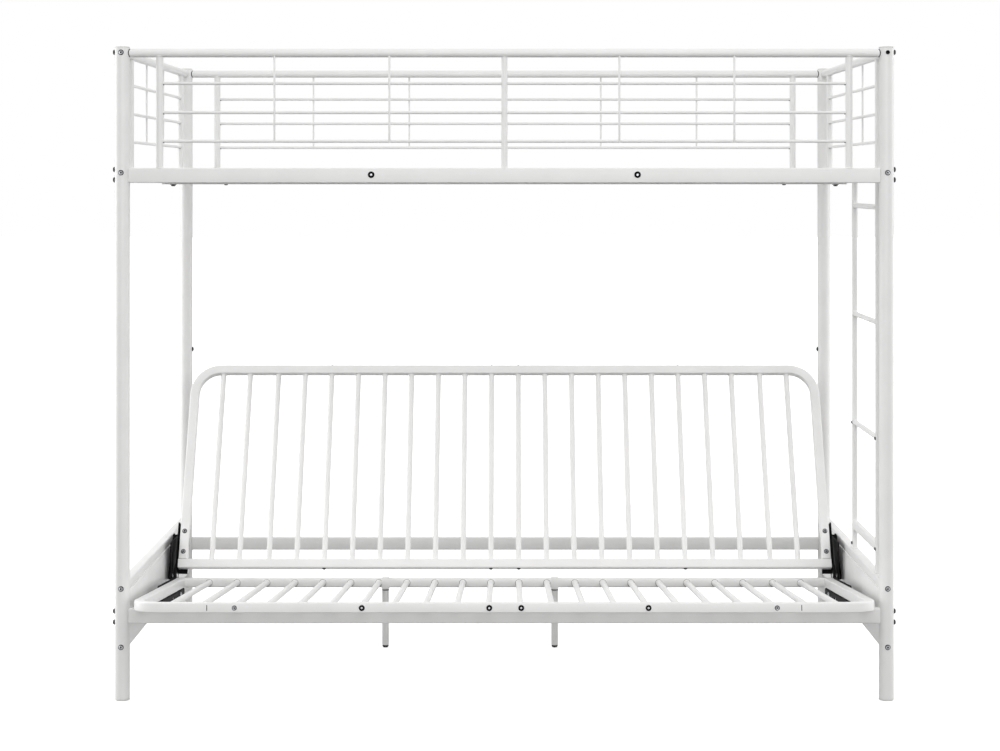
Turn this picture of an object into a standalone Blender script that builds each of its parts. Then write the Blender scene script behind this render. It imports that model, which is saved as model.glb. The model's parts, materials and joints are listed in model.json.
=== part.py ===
"""Futon bunk bed in welded steel tube.

A guarded bunk on four round posts stands over a metal futon. The futon's seat deck rocks on the lower front
rail, its back deck turns on two hinge pins, and the pins climb curved slots in two guide brackets while the sofa
folds down into a bed. The model stands in the sofa pose: X runs along the bed, the front faces -Y, Z is up.

Places on the fixed frame are given with Y = 0 on the front posts' middle plane. Places on the two decks are
given in their own flat frames: u runs rearward in the deck, v stands up from it.
"""

import math

import bmesh
import bpy
from mathutils import Matrix, Vector

# Overall layout
POST_SPAN_LENGTH = 1.942
POST_SPAN_DEPTH = 0.992
POST_TOP = 1.657
POST_DIAMETER = 0.038
CAP_HEIGHT = 0.003
CAP_RIM = 0.004
FOOT_HEIGHT = 0.004
FOOT_RIM = 0.001
TOUCH = 0.0003
WELD_SINK = 0.001
WELD_DISTANCE = 0.000001
CUT_OVERRUN = 0.005

# Long rails of bunk and futon
RAIL_HEIGHT = 0.038
RAIL_DEPTH = 0.020
LOWER_RAIL_TOP = 0.2333
BUNK_RAIL_TOP = 1.351
TUBE_CORNER = 0.003
SQUARE_TUBE = 0.0254

# Bunk base
LEDGE_LEG = 0.032
LEDGE_SEAT = 0.025
LEDGE_THICKNESS = 0.0025
LEDGE_DROP = 0.0034
LEDGE_HALF_LENGTH = 0.872
BUNK_SLAT_PITCH = 0.082
BUNK_SLATS_EACH_WAY = 10
SLAT_DIAMETER = 0.016

# Guard rails
GUARD_TOP = 1.643
GUARD_TOP_DIAMETER = 0.022
GUARD_UPRIGHT_DIAMETER = 0.018
GUARD_MIDDLE_DIAMETER = 0.0155
GUARD_ROD_DIAMETER = 0.008
STIFFENER_DIAMETER = 0.0055
GUARD_ROD_LIFTS = (0.068, 0.141, 0.215)
GUARD_UPRIGHT_INSET = 0.095
END_UPRIGHT_INSET = 0.107
STIFFENERS_PER_GAP = 2

# Ladder
LADDER_FRONT = 0.110
LADDER_WIDTH = 0.344
LADDER_TUBE = 0.016
RUNG_DIAMETER = 0.014
RUNG_HEIGHTS = (0.650, 0.950, 1.250)
STEP_CENTRE = 0.367
STEP_HEIGHT = 0.025
STEP_DEPTH = 0.014

# End frames under the futon
END_TOP_CENTRE = 0.2868
END_LOW_CENTRE = 0.137
END_LOW_TUBE = 0.019
PANEL_THICKNESS = 0.002
PANEL_BOTTOM = 0.132

# Futon decks
DECK_HALF_LENGTH = 0.928
DECK_CORNER_RADIUS = 0.087
DECK_BEND_STEPS = 7
SLAT_PITCH = 0.079
DECK_SLATS_PER_SIDE = 9
OUTER_SLATS = (0.7555, 0.8345)
SEAT_SEAM = 0.734
SEAT_FRONT = 0.1475
SEAT_DEPTH = 0.7017
SEAT_TILT_DEGREES = 6.62
BACK_FOLD_DEGREES = 71.22
PIN_LIFT = 0.0076
PIN_FROM_REAR_RAIL = 0.0028
BACK_RAIL_OFFSET = 0.0375
BACK_HEIGHT = 0.583

# Hinge mechanism, places across the bed counted from its middle plane
BRACKET_THICKNESS = 0.003
LAYER_GAP = 0.0004
BRACKET_BEND = 0.0035
BEND_STEPS = 3
EAR_RADIUS = 0.014
PIN_DIAMETER = 0.010
PIN_HEAD_DIAMETER = 0.013
PIN_HEAD_HEIGHT = 0.0025
CLIP_DIAMETER = 0.018
CLIP_HEIGHT = 0.0025
SEAT_BRACKET_FRONT = 0.264
SEAT_BRACKET_WEB_FRONT = 0.120
SEAT_BRACKET_REAR = 0.573
SEAT_BRACKET_WEB_REAR = 0.5405
SEAT_BRACKET_COVER = 0.003
SEAT_BRACKET_LIP = 0.017
LIP_HOLE_DIAMETER = 0.006
LIP_HOLE_PLACE = 0.468
LIP_NOTCH_PLACE = 0.370
LIP_NOTCH_WIDTH = 0.020
LIP_NOTCH_DEPTH = 0.009
BACK_BRACKET_END = 0.157
BACK_FLANGE_START = 0.0130
BACK_TONGUE_START = 0.0005
BACK_FLANGE_WIDTH = 0.030
BACK_FLANGE_TAPER = 0.012
GUIDE_CLEARANCE = 0.0053
SLOT_CLEARANCE = 0.0004
GUIDE_FRONT = 0.545
GUIDE_BOTTOM = 0.185
GUIDE_TOP = 0.297
GUIDE_FOLD_BOTTOM = 0.592
GUIDE_FOLD_TOP = 0.678
GUIDE_FLANGE = 0.026
GUIDE_CORNER = 0.008
SLOT_STEPS = 8

# Centre support legs
LEG_PLACES = (-0.337, 0.141)
LEG_DIAMETER = 0.019
GLIDE_HEIGHT = 0.015
GLIDE_CLEARANCE = 0.0005
GLIDE_DIAMETER = 0.020
GLIDE_FOOT_DIAMETER = 0.017
SADDLE_WIDTH = 0.020
SADDLE_THICKNESS = 0.002
SADDLE_SKIRT = 0.004

# Colours of the finishes: colour, roughness, metallic
FINISHES = {
    "white_powder_coat": ((0.80, 0.80, 0.78, 1.0), 0.38, 0.0),
    "black_steel": ((0.012, 0.012, 0.013, 1.0), 0.45, 0.6),
    "black_oxide_steel": ((0.02, 0.02, 0.02, 1.0), 0.35, 0.8),
    "zinc_steel": ((0.55, 0.55, 0.56, 1.0), 0.30, 1.0),
    "white_plastic": ((0.78, 0.78, 0.76, 1.0), 0.50, 0.0),
    "black_plastic": ((0.015, 0.015, 0.015, 1.0), 0.55, 0.0),
}

# Fineness of round pieces
TUBE_FINENESS = 2
PIN_SIDES = 16
POST_SIDES = 20
GLIDE_SIDES = 16
CORNER_STEPS = 2
HOLE_SIDES = 12
SHARP_DEGREES = 30

# Values worked out from those above
POST_X = POST_SPAN_LENGTH / 2
POST_RADIUS = POST_DIAMETER / 2
RAIL_HALF_LENGTH = POST_X - POST_RADIUS - TOUCH
SIDE_FRONT = POST_RADIUS + TOUCH
SIDE_REAR = POST_SPAN_DEPTH - POST_RADIUS - TOUCH
BUNK_RAIL_CENTRE = BUNK_RAIL_TOP - RAIL_HEIGHT / 2
LOWER_RAIL_CENTRE = LOWER_RAIL_TOP - RAIL_HEIGHT / 2
END_RAIL_CENTRE = BUNK_RAIL_TOP - SQUARE_TUBE / 2
SLAT_RADIUS = SLAT_DIAMETER / 2
HALF_TUBE = SQUARE_TUBE / 2
SIDE_TUBE_X = DECK_HALF_LENGTH - HALF_TUBE
DECK_CENTRE = HALF_TUBE + TOUCH
SEAT_REAR = SEAT_DEPTH - SEAT_FRONT
PIN_U = SEAT_REAR - PIN_FROM_REAR_RAIL
PIN_V = DECK_CENTRE + HALF_TUBE + PIN_LIFT
BACK_CENTRE = DECK_CENTRE - PIN_V
BACK_TOP = BACK_RAIL_OFFSET + BACK_HEIGHT
PIVOT_Y = RAIL_DEPTH / 2
PIVOT_Z = LOWER_RAIL_TOP
PANEL_INNER_X = POST_X - HALF_TUBE
SEAT_PLATE_X = DECK_HALF_LENGTH + TOUCH
BACK_PLATE_X = SEAT_PLATE_X + BRACKET_THICKNESS + LAYER_GAP
GUIDE_PLATE_X = BACK_PLATE_X + BRACKET_THICKNESS + GUIDE_CLEARANCE


def clear_scene():
    for item in list(bpy.data.objects):
        bpy.data.objects.remove(item, do_unlink=True)


def new_collection(name, hidden):
    group = bpy.data.collections.new(name)
    group.hide_render = hidden
    bpy.context.scene.collection.children.link(group)
    return group


def new_material(name):
    colour, roughness, metallic = FINISHES[name]
    material = bpy.data.materials.new(name)
    material.use_nodes = True
    shader = material.node_tree.nodes["Principled BSDF"]
    shader.inputs["Base Color"].default_value = colour
    shader.inputs["Roughness"].default_value = roughness
    shader.inputs["Metallic"].default_value = metallic
    material.diffuse_color = colour
    return material


clear_scene()
PARTS = new_collection("futon_bunk_bed", False)
GUIDES = new_collection("cutters_and_guides", True)
MATERIALS = {name: new_material(name) for name in FINISHES}


def add_part(name, data, parent, finish):
    """Puts one named sub-part into the bed."""
    part = bpy.data.objects.new(name, data)
    data.materials.append(MATERIALS[finish])
    part.parent = parent
    PARTS.objects.link(part)
    return part


def new_guide(name, data, parent=None):
    """A section outline, a cutter or a member of a welded piece, which isn't a sub-part by itself."""
    guide = bpy.data.objects.new(name, data)
    guide.parent = parent
    guide.hide_render = True
    guide.display_type = "WIRE"
    return guide


def add_guide(name, data, parent=None):
    guide = new_guide(name, data, parent)
    GUIDES.objects.link(guide)
    return guide


def add_empty(name, parent, place, turn_degrees=0.0):
    empty = bpy.data.objects.new(name, None)
    empty.parent = parent
    empty.location = place
    empty.rotation_euler.x = math.radians(turn_degrees)
    PARTS.objects.link(empty)
    return empty


def arc(centre, radius, start_degrees, end_degrees, steps):
    """Points along an arc, both ends included."""
    points = []
    for step in range(steps + 1):
        angle = math.radians(start_degrees + (end_degrees - start_degrees) * step / steps)
        points.append((centre[0] + radius * math.cos(angle), centre[1] + radius * math.sin(angle)))
    return points


def rounded(corners, steps=BEND_STEPS, closed=True):
    """Outline through corners (a, b, radius), each corner rounded by an arc of its radius."""
    points = []
    count = len(corners)
    for index, (a, b, radius) in enumerate(corners):
        corner = Vector((a, b))
        at_end = not closed and index in (0, count - 1)
        if radius == 0 or at_end:
            points.append(tuple(corner))
            continue
        before = (Vector(corners[index - 1][:2]) - corner).normalized()
        after = (Vector(corners[(index + 1) % count][:2]) - corner).normalized()
        half_angle = before.angle(after) / 2
        centre = corner + (before + after).normalized() * (radius / math.sin(half_angle))
        first = corner + before * (radius / math.tan(half_angle)) - centre
        last = corner + after * (radius / math.tan(half_angle)) - centre
        sweep = last.angle_signed(first)
        for step in range(steps + 1):
            turned = Matrix.Rotation(sweep * step / steps, 2) @ first
            points.append(tuple(centre + turned))
    return points


def tube_section(name, width, height):
    """Guide outline of a rectangular tube with rounded edges."""
    half_width, half_height = width / 2, height / 2
    corners = [
        (half_width, half_height, TUBE_CORNER),
        (-half_width, half_height, TUBE_CORNER),
        (-half_width, -half_height, TUBE_CORNER),
        (half_width, -half_height, TUBE_CORNER),
    ]
    curve = bpy.data.curves.new(name, "CURVE")
    curve.dimensions = "2D"
    clockwise = reversed(rounded(corners, CORNER_STEPS))
    add_spline(curve, [(a, b, 0) for a, b in clockwise], True)
    return add_guide(name, curve)


def add_spline(curve, points, closed=False):
    spline = curve.splines.new("POLY")
    spline.points.add(len(points) - 1)
    for spot, place in zip(spline.points, points):
        spot.co = (*place, 1.0)
    spline.use_cyclic_u = closed


def new_path(name):
    curve = bpy.data.curves.new(name, "CURVE")
    curve.dimensions = "3D"
    curve.twist_mode = "Z_UP"
    curve.use_fill_caps = True
    return curve


def round_path(name, diameter, points):
    curve = new_path(name)
    curve.bevel_depth = diameter / 2
    curve.bevel_resolution = TUBE_FINENESS
    add_spline(curve, points)
    return curve


def square_path(name, section, points):
    curve = new_path(name)
    curve.bevel_mode = "OBJECT"
    curve.bevel_object = section
    add_spline(curve, points)
    return curve


def closed_mesh(curve):
    """The solid of a curve as a mesh, its caps welded to its sides."""
    holder = bpy.data.objects.new(curve.name, curve)
    bpy.context.scene.collection.objects.link(holder)
    evaluated = holder.evaluated_get(bpy.context.evaluated_depsgraph_get())
    mesh = bpy.data.meshes.new_from_object(evaluated)
    bpy.data.objects.remove(holder, do_unlink=True)
    build = bmesh.new()
    build.from_mesh(mesh)
    bmesh.ops.remove_doubles(build, verts=build.verts, dist=WELD_DISTANCE)
    bmesh.ops.recalc_face_normals(build, faces=build.faces)
    build.to_mesh(mesh)
    build.free()
    mesh.shade_smooth()
    mesh.set_sharp_from_angle(angle=math.radians(SHARP_DEGREES))
    return mesh


def weld(name, members, parent, finish="white_powder_coat"):
    """One welded piece: the first member's mesh, united with all the others.

    Members sink a little into one another, as weld metal does, so that they join.
    """
    first, *others = members
    part = add_part(name, first, parent, finish)
    group = new_collection(f"{name}_members", True)
    GUIDES.children.link(group)
    bpy.context.scene.collection.children.unlink(group)
    for index, mesh in enumerate(others):
        group.objects.link(new_guide(f"{name}_member_{index}", mesh, parent))
    union = part.modifiers.new("welds", "BOOLEAN")
    union.operation = "UNION"
    union.solver = "EXACT"
    union.operand_type = "COLLECTION"
    union.collection = group
    return part


def outline_mesh(name, outlines, low, high):
    """Closed mesh of a filled outline in the (Y, Z) plane, with its holes, from X = low to X = high."""
    curve = bpy.data.curves.new(name, "CURVE")
    curve.dimensions = "2D"
    curve.fill_mode = "BOTH"
    curve.extrude = (high - low) / 2
    for points in outlines:
        add_spline(curve, [(a, b, 0) for a, b in points], True)
    mesh = closed_mesh(curve)
    mesh.transform(Matrix.Translation(((low + high) / 2, 0, 0)) @ SIDE_VIEW)
    return mesh


def turned(name, profile, parent, place, direction, finish, sides):
    """Round solid: a profile of (radius, height) points turned about the direction through its place."""
    build = bmesh.new()
    corners = [build.verts.new((radius, 0, height)) for radius, height in profile]
    for pair in zip(corners, corners[1:]):
        build.edges.new(pair)
    mesh = bpy.data.meshes.new(name)
    build.to_mesh(mesh)
    build.free()
    part = add_part(name, mesh, parent, finish)
    part.location = place
    part.rotation_mode = "QUATERNION"
    part.rotation_quaternion = Vector((0, 0, 1)).rotation_difference(Vector(direction))
    spin = part.modifiers.new("turned", "SCREW")
    spin.steps = sides
    spin.render_steps = sides
    spin.use_merge_vertices = True
    spin.merge_threshold = WELD_DISTANCE
    return part


SIDE_VIEW = Matrix(((0, 0, 1, 0), (1, 0, 0, 0), (0, 1, 0, 0), (0, 0, 0, 1)))


def folded_sheet(name, profile, axis, start, end, parent, finish):
    """Sheet bent along a profile of (X, n) points and pulled along an axis in the (Y, Z) plane.

    n runs square to the axis, and the sheet grows evenly to both sides of the profile.
    """
    along = Vector((0, axis[0], axis[1])).normalized()
    across = Vector((0, along.z, -along.y))
    build = bmesh.new()
    corners = [build.verts.new(Vector((x, 0, 0)) + across * n + along * start) for x, n in profile]
    edges = [build.edges.new(pair) for pair in zip(corners, corners[1:])]
    pulled = bmesh.ops.extrude_edge_only(build, edges=edges)
    new_corners = [item for item in pulled["geom"] if isinstance(item, bmesh.types.BMVert)]
    bmesh.ops.translate(build, verts=new_corners, vec=along * (end - start))
    mesh = bpy.data.meshes.new(name)
    build.to_mesh(mesh)
    build.free()
    part = add_part(name, mesh, parent, finish)
    thicken = part.modifiers.new("sheet thickness", "SOLIDIFY")
    thicken.thickness = BRACKET_THICKNESS
    thicken.offset = 0
    thicken.use_even_offset = True
    return part


def trim(part, operation, label, outline, span, parent):
    """Cuts a part to, or by, an outline seen from the side, over a span of X."""
    cutter = add_guide(f"{part.name}_{label}", outline_mesh(label, [outline], *span), parent)
    cut = part.modifiers.new(label, "BOOLEAN")
    cut.operation = operation
    cut.solver = "EXACT"
    cut.object = cutter
    return cutter


def circle(a, b, diameter, sides=HOLE_SIDES):
    return arc((a, b), diameter / 2, 0, 360 * (sides - 1) / sides, sides - 1)


# Posts


def build_posts(frame):
    corners = {
        "front_left": (-POST_X, 0),
        "front_right": (POST_X, 0),
        "rear_left": (-POST_X, POST_SPAN_DEPTH),
        "rear_right": (POST_X, POST_SPAN_DEPTH),
    }
    up = (0, 0, 1)
    length = POST_TOP - FOOT_HEIGHT - TOUCH
    post = [(0, length), (POST_RADIUS, length), (POST_RADIUS, 0), (0, 0)]
    cap_rise = CAP_HEIGHT / 2
    cap = [
        (0, CAP_HEIGHT),
        (POST_RADIUS - CAP_RIM, CAP_HEIGHT),
        (POST_RADIUS, cap_rise),
        (POST_RADIUS, 0),
        (0, 0),
    ]
    foot = [
        (0, FOOT_HEIGHT),
        (POST_RADIUS, FOOT_HEIGHT),
        (POST_RADIUS, FOOT_RIM),
        (POST_RADIUS - FOOT_RIM, 0),
        (0, 0),
    ]
    for corner, (x, y) in corners.items():
        place = (x, y, FOOT_HEIGHT + TOUCH)
        turned(f"{corner}_post", post, frame, place, up, "white_powder_coat", POST_SIDES)
        place = (x, y, POST_TOP + TOUCH)
        turned(f"{corner}_cap", cap, frame, place, up, "white_plastic", POST_SIDES)
        turned(f"{corner}_foot", foot, frame, (x, y, 0), up, "white_plastic", POST_SIDES)


# Bunk


def build_rails(frame, rail_section, square_section):
    long_rails = {
        "bunk_front_rail": (0, BUNK_RAIL_CENTRE),
        "bunk_rear_rail": (POST_SPAN_DEPTH, BUNK_RAIL_CENTRE),
        "lower_front_rail": (0, LOWER_RAIL_CENTRE),
        "lower_rear_rail": (POST_SPAN_DEPTH, LOWER_RAIL_CENTRE),
    }
    for name, (y, z) in long_rails.items():
        run = [(-RAIL_HALF_LENGTH, y, z), (RAIL_HALF_LENGTH, y, z)]
        add_part(name, square_path(name, rail_section, run), frame, "white_powder_coat")
    for name, x in (("bunk_left_end_rail", -POST_X), ("bunk_right_end_rail", POST_X)):
        run = [(x, SIDE_FRONT, END_RAIL_CENTRE), (x, SIDE_REAR, END_RAIL_CENTRE)]
        add_part(name, square_path(name, square_section, run), frame, "white_powder_coat")


def build_bunk_base(frame, square_section):
    """Angles bolted inside the long rails, and on them the slats, welded between two square tubes."""
    ledge_low = BUNK_RAIL_TOP - RAIL_HEIGHT - LEDGE_DROP
    rail_face = RAIL_DEPTH / 2 + TOUCH
    wall = rail_face + LEDGE_THICKNESS
    seat_top = ledge_low + LEDGE_THICKNESS
    angle = rounded(
        [
            (rail_face, ledge_low, LEDGE_THICKNESS),
            (rail_face + LEDGE_SEAT, ledge_low, 0),
            (rail_face + LEDGE_SEAT, seat_top, 0),
            (wall, seat_top, 0),
            (wall, ledge_low + LEDGE_LEG, 0),
            (rail_face, ledge_low + LEDGE_LEG, 0),
        ]
    )
    for label, turn in (("front", 1), ("rear", -1)):
        edge = POST_SPAN_DEPTH if turn < 0 else 0
        name = f"bunk_{label}_ledge"
        outline = [(edge + turn * y, z) for y, z in angle]
        ledge = outline_mesh(name, [outline], -LEDGE_HALF_LENGTH, LEDGE_HALF_LENGTH)
        add_part(name, ledge, frame, "white_powder_coat")
    tube_centre = wall + TOUCH + SQUARE_TUBE / 2
    z = seat_top + TOUCH + SQUARE_TUBE / 2
    members = []
    for y in (tube_centre, POST_SPAN_DEPTH - tube_centre):
        run = [(-LEDGE_HALF_LENGTH, y, z), (LEDGE_HALF_LENGTH, y, z)]
        members.append(square_path("slat_frame_tube", square_section, run))
    first = tube_centre + SQUARE_TUBE / 2 - WELD_SINK
    for step in range(-BUNK_SLATS_EACH_WAY, BUNK_SLATS_EACH_WAY + 1):
        x = step * BUNK_SLAT_PITCH
        run = [(x, first, z), (x, POST_SPAN_DEPTH - first, z)]
        members.append(round_path("bunk_slat", SLAT_DIAMETER, run))
    weld("bunk_slat_grid", [closed_mesh(member) for member in members], frame)


def guard_members(start, end, uprights, place, outward):
    """Members of one guard rail.

    Along the guard it reaches from start to end; place turns (along, offset, height) into a point, and
    outward is the sign of the offset on which the thin stiffeners lie.
    """
    foot = BUNK_RAIL_TOP + TOUCH
    top_run = [place(start, 0, GUARD_TOP), place(end, 0, GUARD_TOP)]
    members = [round_path("guard_top", GUARD_TOP_DIAMETER, top_run)]
    for along, diameter in uprights:
        run = [place(along, 0, foot), place(along, 0, GUARD_TOP)]
        members.append(round_path("guard_upright", diameter, run))
    left, right = uprights[0][0], uprights[-1][0]
    for lift in GUARD_ROD_LIFTS:
        run = [place(left, 0, BUNK_RAIL_TOP + lift), place(right, 0, BUNK_RAIL_TOP + lift)]
        members.append(round_path("guard_rod", GUARD_ROD_DIAMETER, run))
    offset = outward * ((GUARD_ROD_DIAMETER + STIFFENER_DIAMETER) / 2 - WELD_SINK)
    low_end = BUNK_RAIL_TOP + GUARD_ROD_LIFTS[0] - GUARD_ROD_DIAMETER / 2
    top_end = GUARD_TOP - WELD_SINK
    for (before, _), (after, _) in zip(uprights, uprights[1:]):
        for index in range(STIFFENERS_PER_GAP):
            along = before + (after - before) * (index + 1) / (STIFFENERS_PER_GAP + 1)
            run = [place(along, offset, low_end), place(along, offset, top_end)]
            members.append(round_path("guard_stiffener", STIFFENER_DIAMETER, run))
    return [closed_mesh(member) for member in members]


def build_guards(frame):
    upright_x = POST_X - GUARD_UPRIGHT_INSET
    uprights = [
        (-upright_x, GUARD_UPRIGHT_DIAMETER),
        (0, GUARD_MIDDLE_DIAMETER),
        (upright_x, GUARD_UPRIGHT_DIAMETER),
    ]
    for name, y, outward in (("front_guard", 0, -1), ("rear_guard", POST_SPAN_DEPTH, 1)):

        def place(along, offset, height, y=y):
            return (along, y + offset, height)

        members = guard_members(-RAIL_HALF_LENGTH, RAIL_HALF_LENGTH, uprights, place, outward)
        weld(name, members, frame)

    ends = (END_UPRIGHT_INSET, POST_SPAN_DEPTH - END_UPRIGHT_INSET)
    uprights = [(y, GUARD_UPRIGHT_DIAMETER) for y in ends]
    for name, side in (("left_guard", -1), ("right_guard", 1)):

        def place(along, offset, height, side=side):
            return (side * POST_X + offset, along, height)

        weld(name, guard_members(SIDE_FRONT, SIDE_REAR, uprights, place, side), frame)


# Ladder


def build_ladder(frame):
    foot = END_TOP_CENTRE + HALF_TUBE + TOUCH
    head = BUNK_RAIL_TOP - SQUARE_TUBE - TOUCH
    front, rear = LADDER_FRONT, LADDER_FRONT + LADDER_WIDTH
    members = []
    for y in (front, rear):
        members.append(round_path("ladder_rail", LADDER_TUBE, [(POST_X, y, foot), (POST_X, y, head)]))
    for z in RUNG_HEIGHTS:
        members.append(round_path("rung", RUNG_DIAMETER, [(POST_X, front, z), (POST_X, rear, z)]))
    step_section = tube_section("ladder_step_section", STEP_DEPTH, STEP_HEIGHT)
    run = [(POST_X, front, STEP_CENTRE), (POST_X, rear, STEP_CENTRE)]
    members.append(square_path("ladder_step", step_section, run))
    weld("ladder", [closed_mesh(member) for member in members], frame)


# End frames


def build_end_frames(frame, square_section):
    low_section = tube_section("end_low_section", END_LOW_TUBE, END_LOW_TUBE)
    low_x = PANEL_INNER_X + PANEL_THICKNESS + TOUCH + END_LOW_TUBE / 2
    panel_top = END_TOP_CENTRE - HALF_TUBE - TOUCH
    panel = [
        (SIDE_FRONT, PANEL_BOTTOM),
        (SIDE_REAR, PANEL_BOTTOM),
        (SIDE_REAR, panel_top),
        (SIDE_FRONT, panel_top),
    ]
    for label, side in (("left", -1), ("right", 1)):
        tubes = (
            ("end_top_tube", square_section, side * POST_X, END_TOP_CENTRE),
            ("end_low_tube", low_section, side * low_x, END_LOW_CENTRE),
        )
        for tube, section, x, z in tubes:
            name = f"{label}_{tube}"
            run = [(x, SIDE_FRONT, z), (x, SIDE_REAR, z)]
            add_part(name, square_path(name, section, run), frame, "white_powder_coat")
        faces = sorted((side * PANEL_INNER_X, side * (PANEL_INNER_X + PANEL_THICKNESS)))
        mesh = outline_mesh(f"{label}_end_panel", [panel], *faces)
        add_part(f"{label}_end_panel", mesh, frame, "white_powder_coat")


# Hinge mechanism: fixed guide brackets


def pin_path(steps):
    """Places of the hinge pin's axis from sofa to bed: an arc about the edge that the seat rocks on."""
    reach = math.hypot(PIN_U, PIN_V)
    flat = math.degrees(math.atan2(PIN_V, PIN_U))
    return arc((PIVOT_Y, PIVOT_Z), reach, flat - SEAT_TILT_DEGREES, flat, steps)


def slot_outline(width):
    """Curved slot of a given width around the pin's path, with round ends."""
    path = pin_path(SLOT_STEPS)
    flat = math.degrees(math.atan2(PIN_V, PIN_U))
    low_angle, high_angle = flat - SEAT_TILT_DEGREES, flat
    reach = math.hypot(PIN_U, PIN_V)
    centre = (PIVOT_Y, PIVOT_Z)
    outer = arc(centre, reach + width / 2, low_angle, high_angle, SLOT_STEPS)
    inner = arc(centre, reach - width / 2, high_angle, low_angle, SLOT_STEPS)
    top = arc(path[-1], width / 2, high_angle, high_angle + 180, HOLE_SIDES // 2)
    bottom = arc(path[0], width / 2, low_angle + 180, low_angle + 360, HOLE_SIDES // 2)
    return outer + top[1:-1] + inner + bottom[1:-1]


def build_guide_brackets(frame):
    """Folded brackets on the end panels: a slotted cheek, a slanting web and a bolted flange."""
    fold_bottom = Vector((GUIDE_FOLD_BOTTOM, GUIDE_BOTTOM))
    fold_top = Vector((GUIDE_FOLD_TOP, GUIDE_TOP))
    slant = (fold_top - fold_bottom).normalized()
    square = Vector((slant.y, -slant.x))
    fold_place = fold_bottom.dot(square)
    fold_start = fold_bottom.dot(slant) - GUIDE_FLANGE
    fold_end = fold_top.dot(slant) + GUIDE_FLANGE
    half_sheet = BRACKET_THICKNESS / 2
    cheek = GUIDE_PLATE_X + half_sheet
    flange = PANEL_INNER_X - TOUCH - half_sheet
    cheek_reach = fold_place - GUIDE_FRONT - CUT_OVERRUN
    flange_edge = fold_place + GUIDE_FLANGE
    level_shift = 1 / slant.y
    contour = rounded(
        [
            (GUIDE_FRONT, GUIDE_BOTTOM, GUIDE_CORNER),
            (GUIDE_FOLD_BOTTOM + GUIDE_FLANGE * level_shift, GUIDE_BOTTOM, GUIDE_CORNER),
            (GUIDE_FOLD_TOP + GUIDE_FLANGE * level_shift, GUIDE_TOP, GUIDE_CORNER),
            (GUIDE_FRONT, GUIDE_TOP, GUIDE_CORNER),
        ]
    )
    slot = slot_outline(PIN_DIAMETER + 2 * SLOT_CLEARANCE)
    for label, side in (("left", -1), ("right", 1)):
        corners = [
            (side * cheek, cheek_reach, 0),
            (side * cheek, fold_place, BRACKET_BEND),
            (side * flange, fold_place, BRACKET_BEND),
            (side * flange, flange_edge, 0),
        ]
        profile = rounded(corners, closed=False)
        name = f"{label}_guide_bracket"
        part = folded_sheet(name, profile, slant, fold_start, fold_end, frame, "black_steel")
        reach = sorted((side * (cheek - CUT_OVERRUN), side * (flange + CUT_OVERRUN)))
        trim(part, "INTERSECT", "contour", contour, reach, frame)
        slot_reach = sorted((side * (cheek - CUT_OVERRUN), side * (cheek + CUT_OVERRUN)))
        trim(part, "DIFFERENCE", "slot", slot, slot_reach, frame)


# Seat deck, in its flat frame about the edge that it rocks on


def slat_places():
    inner = [(index + 0.5) * SLAT_PITCH for index in range(DECK_SLATS_PER_SIDE)]
    return [side * x for side in (-1, 1) for x in (*inner, *OUTER_SLATS)]


def bent_corner(side, first, last):
    """Middle line around a deck's corner, from along the end rail to along the side tube."""
    radius = DECK_CORNER_RADIUS - HALF_TUBE
    centre_x = SIDE_TUBE_X - radius
    direction = 1 if last > first else -1
    centre_u = first + direction * radius
    points = arc((centre_x, centre_u), radius, -90 * direction, 0, DECK_BEND_STEPS)
    return [(side * x, u) for x, u in points]


def build_seat(seat, square_section):
    front, rear, v = -SEAT_FRONT, SEAT_REAR, DECK_CENTRE
    rear_face = rear - HALF_TUBE
    seam = SEAT_SEAM - TOUCH / 2
    front_run = [(-seam, front, v), (seam, front, v)]
    rail = square_path("seat_front_rail", square_section, front_run)
    add_part("seat_front_rail", rail, seat, "white_powder_coat")
    for label, side in (("left", -1), ("right", 1)):
        line = [(side * (SEAT_SEAM + TOUCH / 2), front)]
        line += bent_corner(side, front, rear)
        line += [(side * SIDE_TUBE_X, rear_face - TOUCH)]
        name = f"seat_{label}_bent_tube"
        tube = square_path(name, square_section, [(x, u, v) for x, u in line])
        add_part(name, tube, seat, "white_powder_coat")
    rear_run = [(-DECK_HALF_LENGTH, rear, v), (DECK_HALF_LENGTH, rear, v)]
    members = [square_path("seat_rear_rail", square_section, rear_run)]
    slat_ends = (front + HALF_TUBE + TOUCH, rear_face + WELD_SINK)
    for x in slat_places():
        members.append(round_path("seat_slat", SLAT_DIAMETER, [(x, u, v) for u in slat_ends]))
    weld("seat_slat_grid", [closed_mesh(member) for member in members], seat)


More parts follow.
